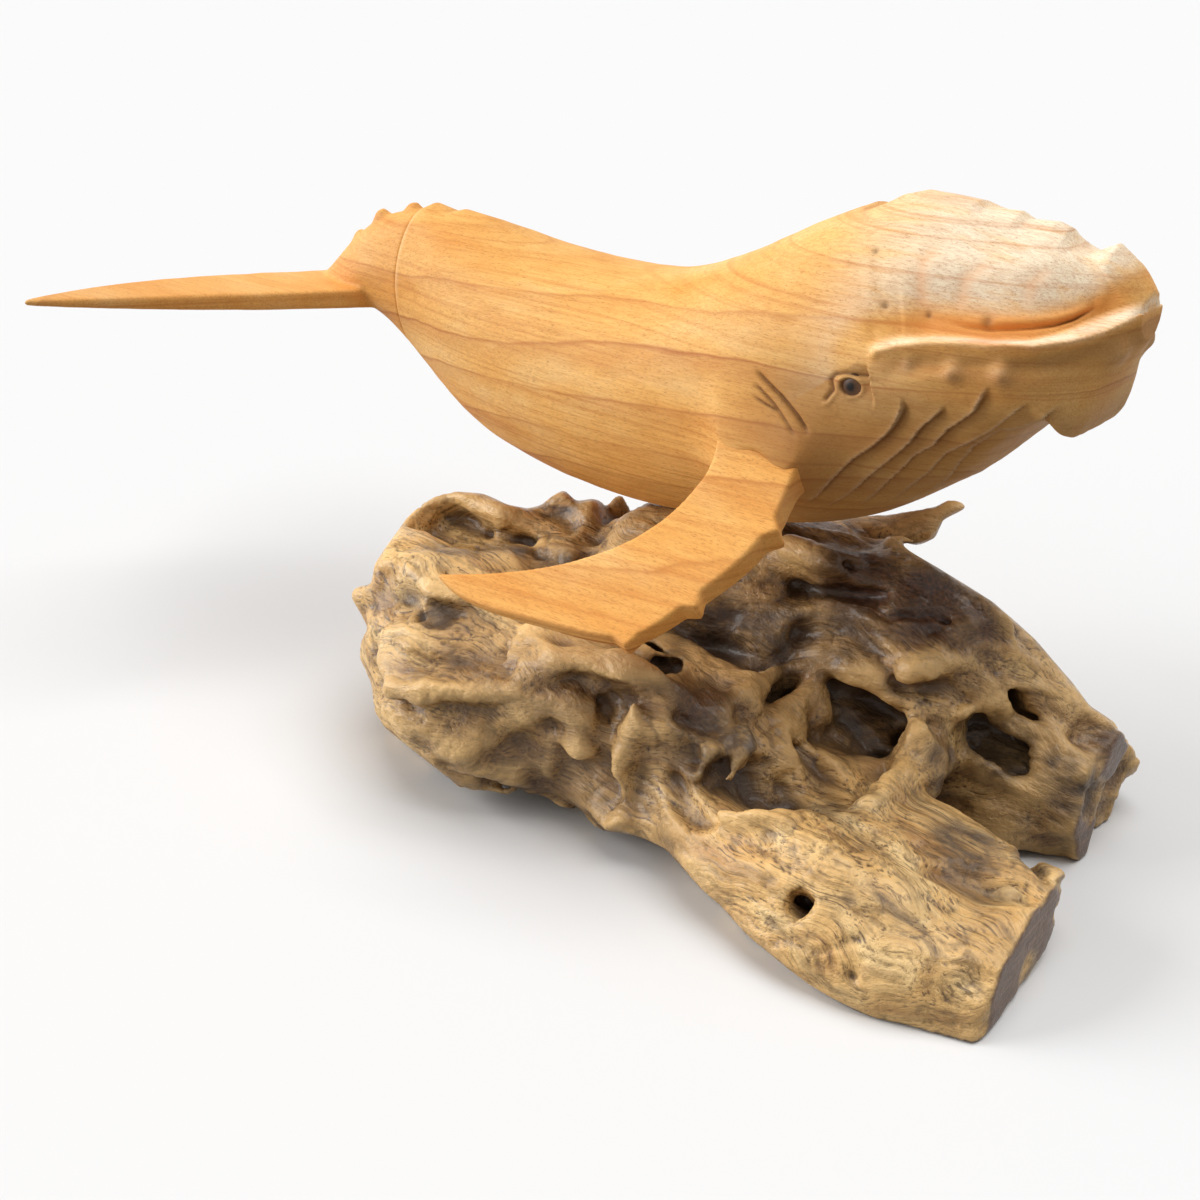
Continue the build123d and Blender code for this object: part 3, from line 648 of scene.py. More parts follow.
def root_wood():
    """Driftwood under lacquer: tan wood with flowing lines, brown folds, red bark, grey sawn ends and dark patches,
    with painted shade in the hollows and painted highlight on the crests.
    """
    material, tree, surface = start_shader("root_lacquered")
    place = place_mm(tree)
    swirl = add_node(tree, "ShaderNodeTexNoise", {"Vector": stretched(tree, place, (0.03, 0.035, 0.035)),
                                                  "Scale": 1.0, "Detail": 2.0}).outputs["Color"]
    shift = stretched(tree, swirl, (26, 26, 26))
    flow = add_node(tree, "ShaderNodeVectorMath", {0: place, 1: shift}, operation="ADD").outputs[0]
    lines = noise(tree, flow, (0.022, 1.3, 1.3), 5, 0.62)
    streaks = noise(tree, flow, (0.014, 0.42, 0.42), 4, 0.6)
    broad = noise(tree, flow, (0.02, 0.14, 0.14), 4, 0.6)
    patch = noise(tree, place, (0.03, 0.045, 0.045), 3, 0.6)
    wood = ramp(tree, broad, [(0.32, srgb(186, 136, 76)), (0.5, srgb(232, 186, 118)), (0.68, srgb(248, 212, 150))])
    brown = ramp(tree, broad, [(0.32, srgb(112, 80, 47)), (0.5, srgb(166, 127, 78)), (0.68, srgb(202, 162, 106))])
    share = maths(tree, "SUBTRACT", ramp(tree, patch, [(0.36, 0.45), (0.58, 1.0)]),
                  maths(tree, "MULTIPLY", mark(tree, "tan"), 0.75))
    share = add_node(tree, "ShaderNodeClamp", {"Value": share}).outputs[0]
    wood = mix(tree, share, wood, brown)
    wood = mix(tree, ramp(tree, streaks, [(0.36, 0.6), (0.50, 0.0)]), wood, srgb(92, 66, 40))
    wood = mix(tree, ramp(tree, lines, [(0.36, 0.8), (0.47, 0.0)]), wood, srgb(72, 48, 27))
    wood = mix(tree, mark(tree, "groove"), wood, srgb(66, 44, 26))
    wood = mix(tree, ramp(tree, lines, [(0.56, 0.0), (0.70, 0.34)]), wood, srgb(226, 194, 140))
    # Painted highlight on the crests
    wood = mix(tree, mark(tree, "ridge"), wood, srgb(238, 194, 128))
    # Painted shade in the hollows
    wood = mix(tree, mark(tree, "cavity_shade"), wood, srgb(92, 68, 43))
    bark = ramp(tree, lines, [(0.3, srgb(30, 16, 10)), (0.5, srgb(62, 32, 18)), (0.7, srgb(106, 62, 36))])
    wood = mix(tree, mark(tree, "red"), wood, bark)
    # Dark patches at listed places: mostly painted shade in hollows and on the far stub's face and painted shadow
    # under the whale, with some dark marks of the wood itself
    stain_and_painted_shade = maths(tree, "MULTIPLY", mark(tree, "black"), ramp(tree, noise(tree, flow, (0.06, 0.12, 0.12), 4, 0.65),
                                                              [(0.36, 0.25), (0.58, 0.95)]))
    wood = mix(tree, stain_and_painted_shade, wood, srgb(76, 58, 42))
    # Painted shade, near black, in the most sunken hollows
    wood = mix(tree, mark(tree, "deep_shade"), wood, srgb(34, 26, 20))
    saw = noise(tree, place, (0.4, 0.12, 1.5), 4, 0.6)
    sawn = ramp(tree, saw, [(0.3, srgb(80, 58, 42)), (0.55, srgb(114, 86, 66)), (0.75, srgb(146, 116, 92))])
    wood = mix(tree, mark(tree, "sawn"), wood, sawn)
    tree.links.new(wood, surface.inputs["Base Color"])
    shine = ramp(tree, patch, [(0.35, 0.5), (0.65, 0.28)])
    tree.links.new(shine, surface.inputs["Roughness"])
    surface.inputs["Specular IOR Level"].default_value = 0.3
    surface.inputs["Coat Weight"].default_value = 0.18
    surface.inputs["Coat Roughness"].default_value = 0.1
    grit = noise(tree, place, (0.35, 0.45, 0.45), 4, 0.6)
    relief = maths(tree, "MULTIPLY_ADD", grit, 1.6, lines)
    bump = add_node(tree, "ShaderNodeBump", {"Height": relief, "Strength": 0.7, "Distance": 0.0007})
    tree.links.new(bump.outputs["Normal"], surface.inputs["Normal"])
    return material


def pin_steel():
    material, tree, surface = start_shader("pin_brushed")
    place = place_mm(tree)
    scratch = noise(tree, place, (0.6, 0.6, 9.0), 3, 0.6)
    tone = ramp(tree, scratch, [(0.3, srgb(148, 150, 152)), (0.7, srgb(190, 192, 194))])
    tree.links.new(tone, surface.inputs["Base Color"])
    tree.links.new(ramp(tree, scratch, [(0.3, 0.42), (0.7, 0.26)]), surface.inputs["Roughness"])
    surface.inputs["Metallic"].default_value = 1.0
    return material


def dowel_wood():
    material, tree, surface = start_shader("dowel_beech")
    place = place_mm(tree)
    fibre = noise(tree, place, (0.4, 0.4, 0.4), 4, 0.6)
    tone = ramp(tree, fibre, [(0.3, srgb(196, 158, 110)), (0.7, srgb(224, 190, 142))])
    tree.links.new(tone, surface.inputs["Base Color"])
    surface.inputs["Roughness"].default_value = 0.6
    return material


def eye_bead(middle):
    """Dark pupil in a brown iris, by distance from the bead's own middle."""
    material, tree, surface = start_shader("eye_bead_" + ("right" if middle[1] < 0 else "left"))
    place = place_mm(tree)
    away = add_node(tree, "ShaderNodeVectorMath", {0: place, 1: tuple(middle)}, operation="DISTANCE")
    grain = noise(tree, place, (0.9, 2.0, 2.0), 3)
    edge = maths(tree, "MULTIPLY_ADD", grain, 0.5, away.outputs["Value"])
    tone = ramp(tree, maths(tree, "MULTIPLY", edge, 0.3),
                [(0.0, srgb(16, 12, 10)), (0.30, srgb(22, 16, 12)), (0.40, srgb(66, 44, 28)),
                 (0.75, srgb(104, 72, 46)), (1.0, srgb(64, 42, 26))])
    tree.links.new(tone, surface.inputs["Base Color"])
    surface.inputs["Roughness"].default_value = 0.3
    surface.inputs["Specular IOR Level"].default_value = 0.2
    return material


# Whale

def hull_rings(start, end, step, fine):
    """Points on the smooth hull, ring by ring, evenly spaced round each ring from the keel."""
    places = np.linspace(start, HEAD_FROM, int((HEAD_FROM - start) / step), endpoint=False)
    places = np.concatenate((places, np.linspace(HEAD_FROM, end, int((end - HEAD_FROM) / fine) + 1)))
    rows = cubic_through(HULL[:, 0], HULL[:, 1:], places)
    turn = np.linspace(-math.pi / 2, 1.5 * math.pi, 1441)
    rings = []
    for x, (top, bottom, half_width, widest, back, belly) in zip(places, rows):
        power = np.where(np.sin(turn) > 0, 2 / back, 2 / belly)
        reach = np.where(np.sin(turn) > 0, top - widest, widest - bottom)
        y = half_width * np.sign(np.cos(turn)) * np.abs(np.cos(turn)) ** power
        z = widest + reach * np.sign(np.sin(turn)) * np.abs(np.sin(turn)) ** power
        way = np.concatenate(([0], np.cumsum(np.hypot(np.diff(y), np.diff(z)))))
        even = np.linspace(0, way[-1], AROUND, endpoint=False)
        rings.append(np.column_stack((np.full(AROUND, x), np.interp(even, way, y), np.interp(even, way, z))))
    return np.array(rings)


def ring_quads(rings, around):
    first = np.arange(rings - 1)[:, None] * around + np.arange(around)
    beside = np.arange(rings - 1)[:, None] * around + (np.arange(around) + 1) % around
    return np.stack((first, beside, beside + around, first + around), axis=-1).reshape(-1, 4)


def capped(rings):
    """The rings with inset rings added at both ends, so that the caps are smooth discs."""
    def inset(ring, share):
        middle = ring.mean(axis=0)
        return middle + (ring - middle) * share
    shares = (0.9, 0.7, 0.4, 0.1)
    head = [inset(rings[0], share) for share in reversed(shares)]
    tail = [inset(rings[-1], share) for share in shares]
    return np.array([*head, *rings, *tail])


class Carving:
    """Sums the depth of cuts and swells over a set of points, the same on both sides of the whale."""

    def __init__(self, points, normals):
        flip = np.where(points[:, 1:2] > 0, (1, -1, 1), (1, 1, 1))
        self.points = points * flip
        self.normals = normals * flip
        self.lift = np.zeros(len(points))
        self.crease_shade_and_knots = np.zeros(len(points))
        self.painted_highlight = np.zeros(len(points))
        self.warm_tint_and_painted_shade = np.zeros(len(points))
        self.shade = np.zeros(len(points))

    def line(self, pixels_or_points):
        return from_line(self.points, self.normals, pixels_or_points)

    # Adds to the dark mark: painted shade in grooves and gouges, and dark knot specks
    def darken(self, share):
        self.crease_shade_and_knots = np.maximum(self.crease_shade_and_knots, share)

    def bump(self, middle, radius, height, dark=0.0):
        share = np.exp(-(np.linalg.norm(self.points - middle, axis=1) / radius) ** 2)
        self.lift += height * share
        if dark:
            self.darken(dark * share)


def carve_lip(carving, tree):
    gap, side, way, length = carving.line(pick_line(tree, LIP))
    above = gap * side
    grow = smoothstep(0, 14, way)
    front = 1 - smoothstep(length - 13, length - 2, way)
    shelf = smoothstep(0, 3.0, above) * (1 - smoothstep(4.5, 19, above))
    carving.lift -= 4.2 * grow * shelf * front
    carving.lift += 1.2 * np.exp(-((above + 0.4) / 1.0) ** 2) * smoothstep(0, 3, way) * front
    carving.lift -= 1.7 * np.exp(-((above + 4.4) / 2.2) ** 2) * smoothstep(2, 14, way) * (1 - smoothstep(length - 26, length - 9, way))
    # Painted highlight over the head plate above the lip, and a painted highlight strip on the lip's upper face
    ahead = smoothstep(40, 80, carving.points[:, 0])
    carving.painted_highlight += 0.95 * smoothstep(6, 12, above) * ahead
    carving.painted_highlight += 0.9 * np.exp(-((above - 1.0) / 1.3) ** 2) * smoothstep(0, 6, way)
    # Painted shade: darker orange in the hollow channel above the lip
    carving.warm_tint_and_painted_shade += 0.7 * np.exp(-((above - 5.5) / 2.4) ** 2) * grow * (0.3 + 0.7 * front)
    # Painted shade under the lip and over the cheek and throat, which face away from the light
    under = smoothstep(-0.4, -3.0, above) * smoothstep(46, 66, carving.points[:, 0])
    carving.shade += under * (0.25 + 0.3 * np.exp(-((above + 5) / 4.5) ** 2))
    low = smoothstep(24, 52, carving.points[:, 0]) * smoothstep(128, 112, carving.points[:, 2])
    carving.shade = np.maximum(carving.shade, 0.6 * low)
    gap, side, way, length = carving.line(pick_line(tree, MOUTH))
    ends = smoothstep(0, 14, way) * (1 - smoothstep(length - 6, length, way))
    groove = np.exp(-(gap / 0.55) ** 2) * ends
    carving.lift -= 1.0 * groove
    carving.lift += np.where(side > 0, 0.5 * np.exp(-((gap - 1.4) / 1.2) ** 2), 0) * ends
    # Painted shade in the mouth groove
    carving.darken(0.6 * groove * smoothstep(20, 34, way))


def carve_head(carving, tree):
    gap, side, way, length = carving.line(pick_line(tree, NECK))
    ends = smoothstep(0, 6, way) * (1 - smoothstep(length - 3, length, way))
    across = gap * side
    carving.lift -= 0.8 * smoothstep(-1.2, 2.6, across) * np.exp(-np.maximum(across, 0) / 7.0) * ends
    for lobe in LOBES:
        gap, side, way, length = carving.line(pick_line(tree, lobe))
        ends = smoothstep(0, 4, way) * (1 - smoothstep(length - 3, length, way))
        across = gap * side
        carving.lift += 0.3 * smoothstep(-2.2, 2.2, across) * np.exp(-np.abs(across) / 7.0) * ends
        carving.lift -= 0.2 * np.exp(-((across + 1.2) / 1.8) ** 2) * ends
        # Painted shade: darker orange in the dip beside each lobe's edge
        carving.warm_tint_and_painted_shade += 0.35 * np.exp(-((across + 0.6) / 1.6) ** 2) * ends
    gap, side, way, length = carving.line(pick_line(tree, SNOUT_EDGE))
    carving.lift += 0.4 * np.exp(-(gap / 1.2) ** 2)
    gap, side, way, length = carving.line(pick_line(tree, JAW_BACK))
    behind = side < 0
    ends = smoothstep(0, 3, way) * (1 - smoothstep(length - 6, length, way))
    carving.lift += np.where(behind, -1.3 * np.exp(-gap / 3.5), 0.3 * np.exp(-gap / 1.5)) * ends
    for pixel, radius, height in JAW_KNOBS:
        carving.bump(pick(tree, pixel)[0], radius, height)
        # Painted highlight on the knobs, where they catch the light
        carving.painted_highlight += 0.25 * np.exp(-(np.linalg.norm(carving.points - pick(tree, pixel)[0], axis=1) / radius) ** 2)
    for pixel, radius, depth in NICKS:
        carving.bump(pick(tree, pixel)[0], radius, -depth, dark=0.6)


def carve_pleats(carving, tree):
    lines = [pick_line(tree, pixels) for pixels in PLEATS]
    for line in lines:
        gap, side, way, length = carving.line(line)
        ends = smoothstep(0, 5, way) * (1 - smoothstep(length - 8, length, way))
        below = side > 0
        carving.lift += np.where(below, -1.9 * np.exp(-gap / 3.2), 0.4 * np.exp(-gap / 0.8)) * ends
        # Painted shadow below each pleat's edge and painted highlight along its upper edge
        carving.darken(np.where(below, 0.55 * np.exp(-((gap - 0.5) / 0.6) ** 2), 0) * ends)
        carving.painted_highlight += np.where(below, 0, 0.4 * np.exp(-((gap - 0.3) / 0.5) ** 2)) * ends


def carve_eye(carving, tree):
    middle, normal = pick(tree, EYE)
    ahead = unit(np.array((1.0, 0, 0)) - normal * normal[0])
    up = np.cross(ahead, normal)
    up = up if up[2] > 0 else -up
    offset = carving.points - middle
    round_eye = np.hypot(offset @ ahead / EYE_HALF[0], offset @ up / EYE_HALF[1])
    near = np.abs(offset @ normal) < 6
    carving.lift -= np.where(near, 1.5 * (1 - smoothstep(0.82, 1.08, round_eye)), 0)
    carving.lift += np.where(near, 0.4 * np.exp(-((round_eye - 1.3) / 0.22) ** 2), 0)
    # Painted shade in the groove round the eye
    carving.darken(np.where(near, 0.7 * np.exp(-((round_eye - 1.02) / 0.12) ** 2), 0))
    gap, side, way, length = carving.line(pick_line(tree, LID))
    carving.lift -= 0.65 * np.exp(-(gap / 0.5) ** 2)
    carving.lift += np.where(side < 0, 0.3 * np.exp(-((gap - 1.0) / 0.6) ** 2), 0)
    # Painted shade along the lid's cut line
    carving.darken(0.7 * np.exp(-(gap / 0.4) ** 2))
    return middle, normal


def carve_flank(carving, tree):
    for pixels, width, depth in FLIPPER_CREASES:
        gap, side, way, length = carving.line(pick_line(tree, pixels))
        ends = smoothstep(0, 3, way) * (1 - smoothstep(length - 3, length, way))
        carving.lift -= depth * np.exp(-(gap / width) ** 2) * ends
        carving.lift += np.where(side > 0, 0.35 * np.exp(-gap / 1.2), 0) * ends
        # Painted shade in the gouged lines at the flipper's root
        carving.darken(0.85 * np.exp(-(gap / (0.8 * width)) ** 2) * ends)
    blade = flipper_field()
    gap = np.clip(blade.sample(carving.points), -SHOULDER, SHOULDER)
    share = 0.5 + 0.5 * gap / SHOULDER
    carving.lift += (SHOULDER * share - gap) * (1 - share)
    carving.bump(pick(tree, (803, 446))[0], 8.0, 1.6)


def carve_crest(carving):
    """Raise or lower the ridge of the back to its outline."""
    x = carving.points[:, 0]
    top = cubic_through(HULL[:, 0], HULL[:, 1:2], x)[:, 0]
    ridge = np.exp(-(carving.points[:, 1] / CREST_WIDTH) ** 2) * smoothstep(0.2, 0.6, carving.normals[:, 2])
    for outline in (TAIL_CREST, HEAD_CREST):
        inside = (x > outline[0, 0]) & (x < outline[-1, 0])
        carving.lift += np.where(inside, (np.interp(x, *outline.T) - top) * ridge, 0)


def whale_body(material):
    rings = capped(hull_rings(TAIL_JOINT_X, HULL[-1, 0], HULL_STEP * COARSE, HEAD_STEP * COARSE))
    points = rings.reshape(-1, 3)
    quads = ring_quads(len(rings), AROUND)
    normals = vertex_normals(points, quads)
    tree = (BVHTree.FromPolygons(points.tolist(), quads.tolist()), points)
    carving = Carving(points, normals)
    carve_lip(carving, tree)
    carve_head(carving, tree)
    carve_pleats(carving, tree)
    eye = carve_eye(carving, tree)
    carve_flank(carving, tree)
    carve_crest(carving)
    carving.lift += 0.05 * point_noise(points, (9, 5, 5), RANDOM["tool"])
    carving.lift += 0.025 * point_noise(points, (4, 2, 2), RANDOM["tool"] + 1)
    away = points[:, 0] - TAIL_JOINT_X
    joint = np.exp(-(away / 0.5) ** 2)
    carving.lift -= 0.12 * joint
    hold = smoothstep(0, 0.01, away)
    points = points + normals * (carving.lift * hold)[:, None]
    last = len(points) - AROUND
    faces = [*quads.tolist(), list(range(AROUND))[::-1], list(range(last, last + AROUND))]
    glue = np.exp(-((away - 0.4) / 0.6) ** 2) * smoothstep(104, 112, points[:, 2])
    piece = new_piece("whale_body_carved", points, faces, material, "whale",
                      {"crease_shade_and_knots": carving.crease_shade_and_knots, "glue": 0.3 * glue, "painted_highlight": np.clip(carving.painted_highlight, 0, 1),
                       "warm_tint_and_painted_shade": np.clip(carving.warm_tint_and_painted_shade, 0, 1), "shade": np.clip(carving.shade, 0, 1)})
    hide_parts("whale_body")
    return piece, tree, eye


def softened_node(name, node, step, passes, material, shape=None):
    """A CAD node remeshed finely, with its edges eased as sandpaper leaves them."""
    points, triangles = node_mesh(node)
    step *= COARSE
    room = 9.0 if shape else 3 * step
    field = Field(points.min(axis=0) - room, points.max(axis=0) + room, step)
    field.values = field.of_mesh(points, triangles, 6 * step)
    field.soften(passes)
    if shape:
        shape(field)
    points, quads = field.surface()
    normals = vertex_normals(points, quads)
    carving = Carving(points, normals)
    carving.lift += 0.04 * point_noise(points, (9, 4, 4), RANDOM["tool"] + 2)
    points = points + normals * carving.lift[:, None]
    none = np.zeros(len(points))
    piece = new_piece(name, points, quads, material, "whale", {"crease_shade_and_knots": none, "glue": none})
    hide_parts(node)
    return piece


def hull_mesh():
    """Points and triangles of the plain hull, before it is carved."""
    rings = capped(hull_rings(HULL[0, 0], HULL[-1, 0], 2.0, 2.0))
    quads = ring_quads(len(rings), AROUND)
    last = len(rings) * AROUND - AROUND
    ends = [[first, first + k, first + k + 1] for first in (0, last) for k in range(1, AROUND - 1)]
    triangles = np.concatenate((quads[:, [0, 1, 2]], quads[:, [0, 2, 3]], ends))
    return rings.reshape(-1, 3), triangles.astype(np.uint32)


def flipper_field():
    """Distances to the right flipper, with room round it for the fillet at its root."""
    points, triangles = node_mesh("right_flipper")
    field = Field(points.min(axis=0) - SHOULDER - 1, points.max(axis=0) + SHOULDER + 1, 1.0)
    field.values = field.of_mesh(points, triangles, SHOULDER + 1)
    return field


def ease_flipper_root(field):
    """Carry the blade on into the flank, and flare it where it leaves the flank."""
    x, y, z = field.axes()
    right = field.low[1] + 0.5 * field.step * field.shape[1] < 0
    hull = field.of_mesh(*hull_mesh(), FILLET + 2)
    offset = [x - FLIPPER_PLACE[0], (y if right else -y) - FLIPPER_PLACE[1], z - FLIPPER_PLACE[2]]
    u, v, rise = (sum(part * way for part, way in zip(offset, axis))
                  for axis in (FLIPPER_SPAN, np.cross(FLIPPER_NORMAL, FLIPPER_SPAN), FLIPPER_NORMAL))
    angle = math.radians(FLIPPER_ROOT_ANGLE)
    out = u * math.cos(angle) + v * math.sin(angle)
    along = v * math.cos(angle) - u * math.sin(angle)
    low, high = FLIPPER_ROOT_EDGE
    box = [np.abs(along - 0.5 * (low + high)) - 0.5 * (high - low),
           np.abs(out + FLIPPER_SEAT) - FLIPPER_INSIDE, np.abs(rise) - 0.5 * FLIPPER_THICK]
    inner = np.maximum(np.maximum(box[0], box[1]), box[2])
    everywhere = tuple(slice(0, count) for count in field.shape)
    field.merge(everywhere, inner.astype(np.float32), 0.8)
    flare = np.clip(1 - np.abs(hull) / FILLET, 0, 1) ** 2
    field.values -= (0.25 * FILLET * flare).astype(np.float32)


def eye_piece(name, node, eye, mirror):
    """A low dome seated in the lids."""
    middle, normal = (np.array(part) for part in eye)
    if mirror:
        middle = middle * (1, -1, 1)
        normal = normal * (1, -1, 1)
    centre = middle - normal * 1.15
    side = unit(np.cross(normal, (0, 0, 1)))
    up = np.cross(side, normal)
    radius, height, around, rows = 3.1, 1.05, 48, 14
    points = []
    for row in range(rows):
        lean = math.pi / 2 * (row + 0.02) / (rows - 1)
        out = radius * math.sin(lean)
        rise = height * math.cos(lean)
        for k in range(around):
            turn = 2 * math.pi * k / around
            points.append(centre + side * out * math.cos(turn) + up * out * math.sin(turn) + normal * rise)
    for k in range(around):
        turn = 2 * math.pi * k / around
        points.append(centre + side * radius * math.cos(turn) + up * radius * math.sin(turn) - normal * 1.5)
    quads = ring_quads(rows + 1, around).tolist()
    faces = [*quads, list(range(around))[::-1], list(range(rows * around, (rows + 1) * around))]
    piece = new_piece(name, np.array(points), faces, eye_bead(centre + normal * height), "whale")
    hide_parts(node)
    return piece


def bore_for_pin(piece):
    """Cut the pin's bore up into the belly."""
    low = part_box("mounting_pin")[0]
    rings = []
    for height in (-20.0, float(np.array(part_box("mounting_pin")[1])[2] / MM) + 0.6):
        turn = np.linspace(0, 2 * math.pi, 64, endpoint=False)
        rings.append(np.column_stack((PIN_BORE * np.cos(turn), PIN_BORE * np.sin(turn), np.full(64, height))))
    mesh = bpy.data.meshes.new("bore")
    faces = ring_quads(2, 64).tolist() + [list(range(64))[::-1], list(range(64, 128))]
    mesh.from_pydata([tuple(point * MM) for point in np.concatenate(rings)], [], faces)
    cutter = bpy.data.objects.new("bore", mesh)
    bpy.context.scene.collection.objects.link(cutter)
    cut = piece.modifiers.new("bore", "BOOLEAN")
    cut.operation = "DIFFERENCE"
    cut.solver = "MANIFOLD"
    cut.object = cutter
    graph = bpy.context.evaluated_depsgraph_get()
    result = bpy.data.meshes.new_from_object(piece.evaluated_get(graph))
    piece.modifiers.clear()
    piece.data = result
    bpy.data.objects.remove(cutter)
    return low


# Root

def feature_turn(normal, degrees):
    """Rows: the picture's right laid on the surface and turned, the direction across it, and the normal."""
    right = np.array(camera_turn().to_matrix() @ Vector((1, 0, 0)))
    along = unit(right - normal * (right @ normal))
    across = np.cross(normal, along)
    turn = math.radians(-degrees)
    return np.array((along * math.cos(turn) + across * math.sin(turn),
                     across * math.cos(turn) - along * math.sin(turn), normal))


def near_places(points, tree, places, fade=1.35):
    """Share from 0 to 1 of being within a listed radius of a listed pixel's place."""
    share = np.zeros(len(points))
    for pixel, radius in places:
        middle, _ = pick(tree, pixel)
        away = np.linalg.norm(points - middle, axis=1) / radius
        share = np.maximum(share, 1 - smoothstep(0.55, fade, away))
    return share


def outline_gap(x, y, z):
    """How far the camera sees places outside the root's outline, in millimetres; negative within it."""
    grid = np.arange(0, IMAGE_SIZE, OUTLINE_STEP, dtype=float)
    across, down = np.meshgrid(grid, grid, indexing="ij")
    best = np.full(across.shape, 1e9)
    inside = np.zeros(across.shape, bool)
    for start, end in zip(ROOT_OUTLINE, ROOT_OUTLINE[1:] + ROOT_OUTLINE[:1]):
        run = (end[0] - start[0], end[1] - start[1])
        share = ((across - start[0]) * run[0] + (down - start[1]) * run[1]) / (run[0] ** 2 + run[1] ** 2)
        share = np.clip(share, 0, 1)
        best = np.minimum(best, np.hypot(across - start[0] - share * run[0], down - start[1] - share * run[1]))
        if run[1]:
            level = (down >= min(start[1], end[1])) & (down < max(start[1], end[1]))
            inside ^= level & (across < start[0] + (down - start[1]) * run[0] / run[1])
    best = np.where(inside, -best, best)
    right, up, back = np.array(camera_turn().to_matrix()).T
    offset = (x - CAMERA_PLACE[0], y - CAMERA_PLACE[1], z - CAMERA_PLACE[2])
    depth = -sum(part * way for part, way in zip(offset, back))
    places = [0.5 + sum(part * way for part, way in zip(offset, right)) / depth * LENS / SENSOR,
              0.5 - sum(part * way for part, way in zip(offset, up)) / depth * LENS / SENSOR]
    places = [np.clip(place * IMAGE_SIZE / OUTLINE_STEP, 0, len(grid) - 1.001) for place in places]
    cells = [place.astype(int) for place in places]
    shares = [place - cell for place, cell in zip(places, cells)]
    gap = 0
    for corner in np.ndindex(2, 2):
        weight = [share if part else 1 - share for part, share in zip(corner, shares)]
        gap = gap + weight[0] * weight[1] * best[cells[0] + corner[0], cells[1] + corner[1]]
    return (gap * depth * SENSOR / (LENS * IMAGE_SIZE)).astype(np.float32)


def root_field(tree):
    points, triangles = node_mesh("root_base")
    step = ROOT_STEP * COARSE
    low = points.min(axis=0)
    high = points.max(axis=0)
    field = Field(low - 6, high + 6, step)
    plain = field.of_mesh(points, triangles, 12)
    field.values = plain.copy()
    x, y, z = field.axes()
    rough = field.noise((7, 5, 5), RANDOM["lumps"] + 1)
    for pixel, degrees, radii, sink in ROOT_BASINS:
        place, normal = pick(tree, pixel)
        field.scoop(place - normal * sink, feature_turn(normal, degrees), radii, 3.0, rough)
    for pixels, first, last, raised in ROOT_RIDGES:
        spots = [pick(tree, pixel) for pixel in pixels]
        radii = np.linspace(first, last, len(pixels))
        line = np.array([place + normal * (raised * radius) for (place, normal), radius in zip(spots, radii)])
        field.tube(line, radii, 2.6)
    for pixel, degrees, radii, sink in ROOT_SCOOPS:
        place, normal = pick(tree, pixel)
        field.scoop(place - normal * sink, feature_turn(normal, degrees), radii, min(1.6, 0.5 * min(radii)), rough)
    calm = smoothstep(55, 85, x) * smoothstep(-18, -30, y)
    wild = (1 - 0.7 * np.broadcast_to(calm, field.shape)).astype(np.float32)
    spots = []
    for axis, part in enumerate((x, y, z)):
        shift = 2.4 * field.noise((26, 20, 20), RANDOM["warp"] + axis)
        shift += 1.4 * field.noise((13, 10, 10), RANDOM["warp"] + 3 + axis)
        shift += 0.6 * field.noise((6, 5, 5), RANDOM["warp"] + 6 + axis)
        spots.append((np.broadcast_to(part, field.shape) + shift * wild).ravel())
    field.values = field.sample(np.stack(spots, axis=-1)).reshape(field.shape).astype(np.float32)
    folds = 1 - np.abs(field.noise((22, 9, 9), RANDOM["folds"]))
    crests = 1 - np.abs(field.noise((10, 4.6, 4.6), RANDOM["folds"] + 1))
    lumps = np.abs(field.noise((12, 9, 9), RANDOM["lumps"]))
    wrinkles = 1 - np.abs(field.noise((6, 2.6, 2.6), RANDOM["folds"] + 2))
    rise = 1.7 * np.maximum(folds, -0.7) + 0.9 * np.maximum(crests, -0.6) + 1.0 * (lumps - 0.8)
    field.values -= (rise - 0.9) * wild + 0.35 * wrinkles * (0.4 + 0.6 * wild)
    for start, end, first, last in ROOT_SPURS:
        field.tube(np.array((start, end), float), (first, last), 2.5)
    everywhere = tuple(slice(0, count) for count in field.shape)
    field.merge(everywhere, -outline_gap(x, y, z), 1.2, cut=True)
    for pixels, radius in ROOT_CRACKS:
        line = pick_line(tree, pixels)
        radii = radius * np.array([0.6] + [1.0] * (len(pixels) - 2) + [0.5])
        field.tube(line, radii, 0.5, cut=True)
    field.soften(1)
    seat = 1 - smoothstep(14, 30, np.sqrt(x ** 2 + y ** 2 + (z - SEAT_HEIGHT) ** 2))
    field.values = (field.values * (1 - seat) + np.minimum(plain, field.values) * seat).astype(np.float32)
    whale = field.of_mesh(*node_mesh("whale_body"), 6)
    turn = math.radians(NEAR_SAW_TURN)
    near_saw = (x - NEAR_SAW[0]) * math.cos(turn) + (y - NEAR_SAW[1]) * math.sin(turn)
    saw = np.where(y < -22, near_saw, x - FAR_SAW_X)
    limits = [SADDLE_GAP - whale, -z, saw, z - high[2], low[0] - x, x - high[0], low[1] - y, y - high[1]]
    for limit in limits:
        field.values = np.maximum(field.values, np.broadcast_to(limit, field.shape)).astype(np.float32)
    return field, saw


def largest_part(points, quads):
    """The biggest connected part of a mesh, without loose crumbs."""
    label = np.arange(len(points))
    first = quads[:, [0, 1, 2, 3]].ravel()
    second = quads[:, [1, 2, 3, 0]].ravel()
    while True:
        lowest = np.minimum(label[first], label[second])
        before = label.copy()
        np.minimum.at(label, first, lowest)
        np.minimum.at(label, second, lowest)
        label = label[label]
        if np.array_equal(before, label):
            break
    names, counts = np.unique(label[quads[:, 0]], return_counts=True)
    quads = quads[label[quads[:, 0]] == names[counts.argmax()]]
    used, fresh = np.unique(quads, return_inverse=True)
    return points[used], fresh.reshape(-1, 4)


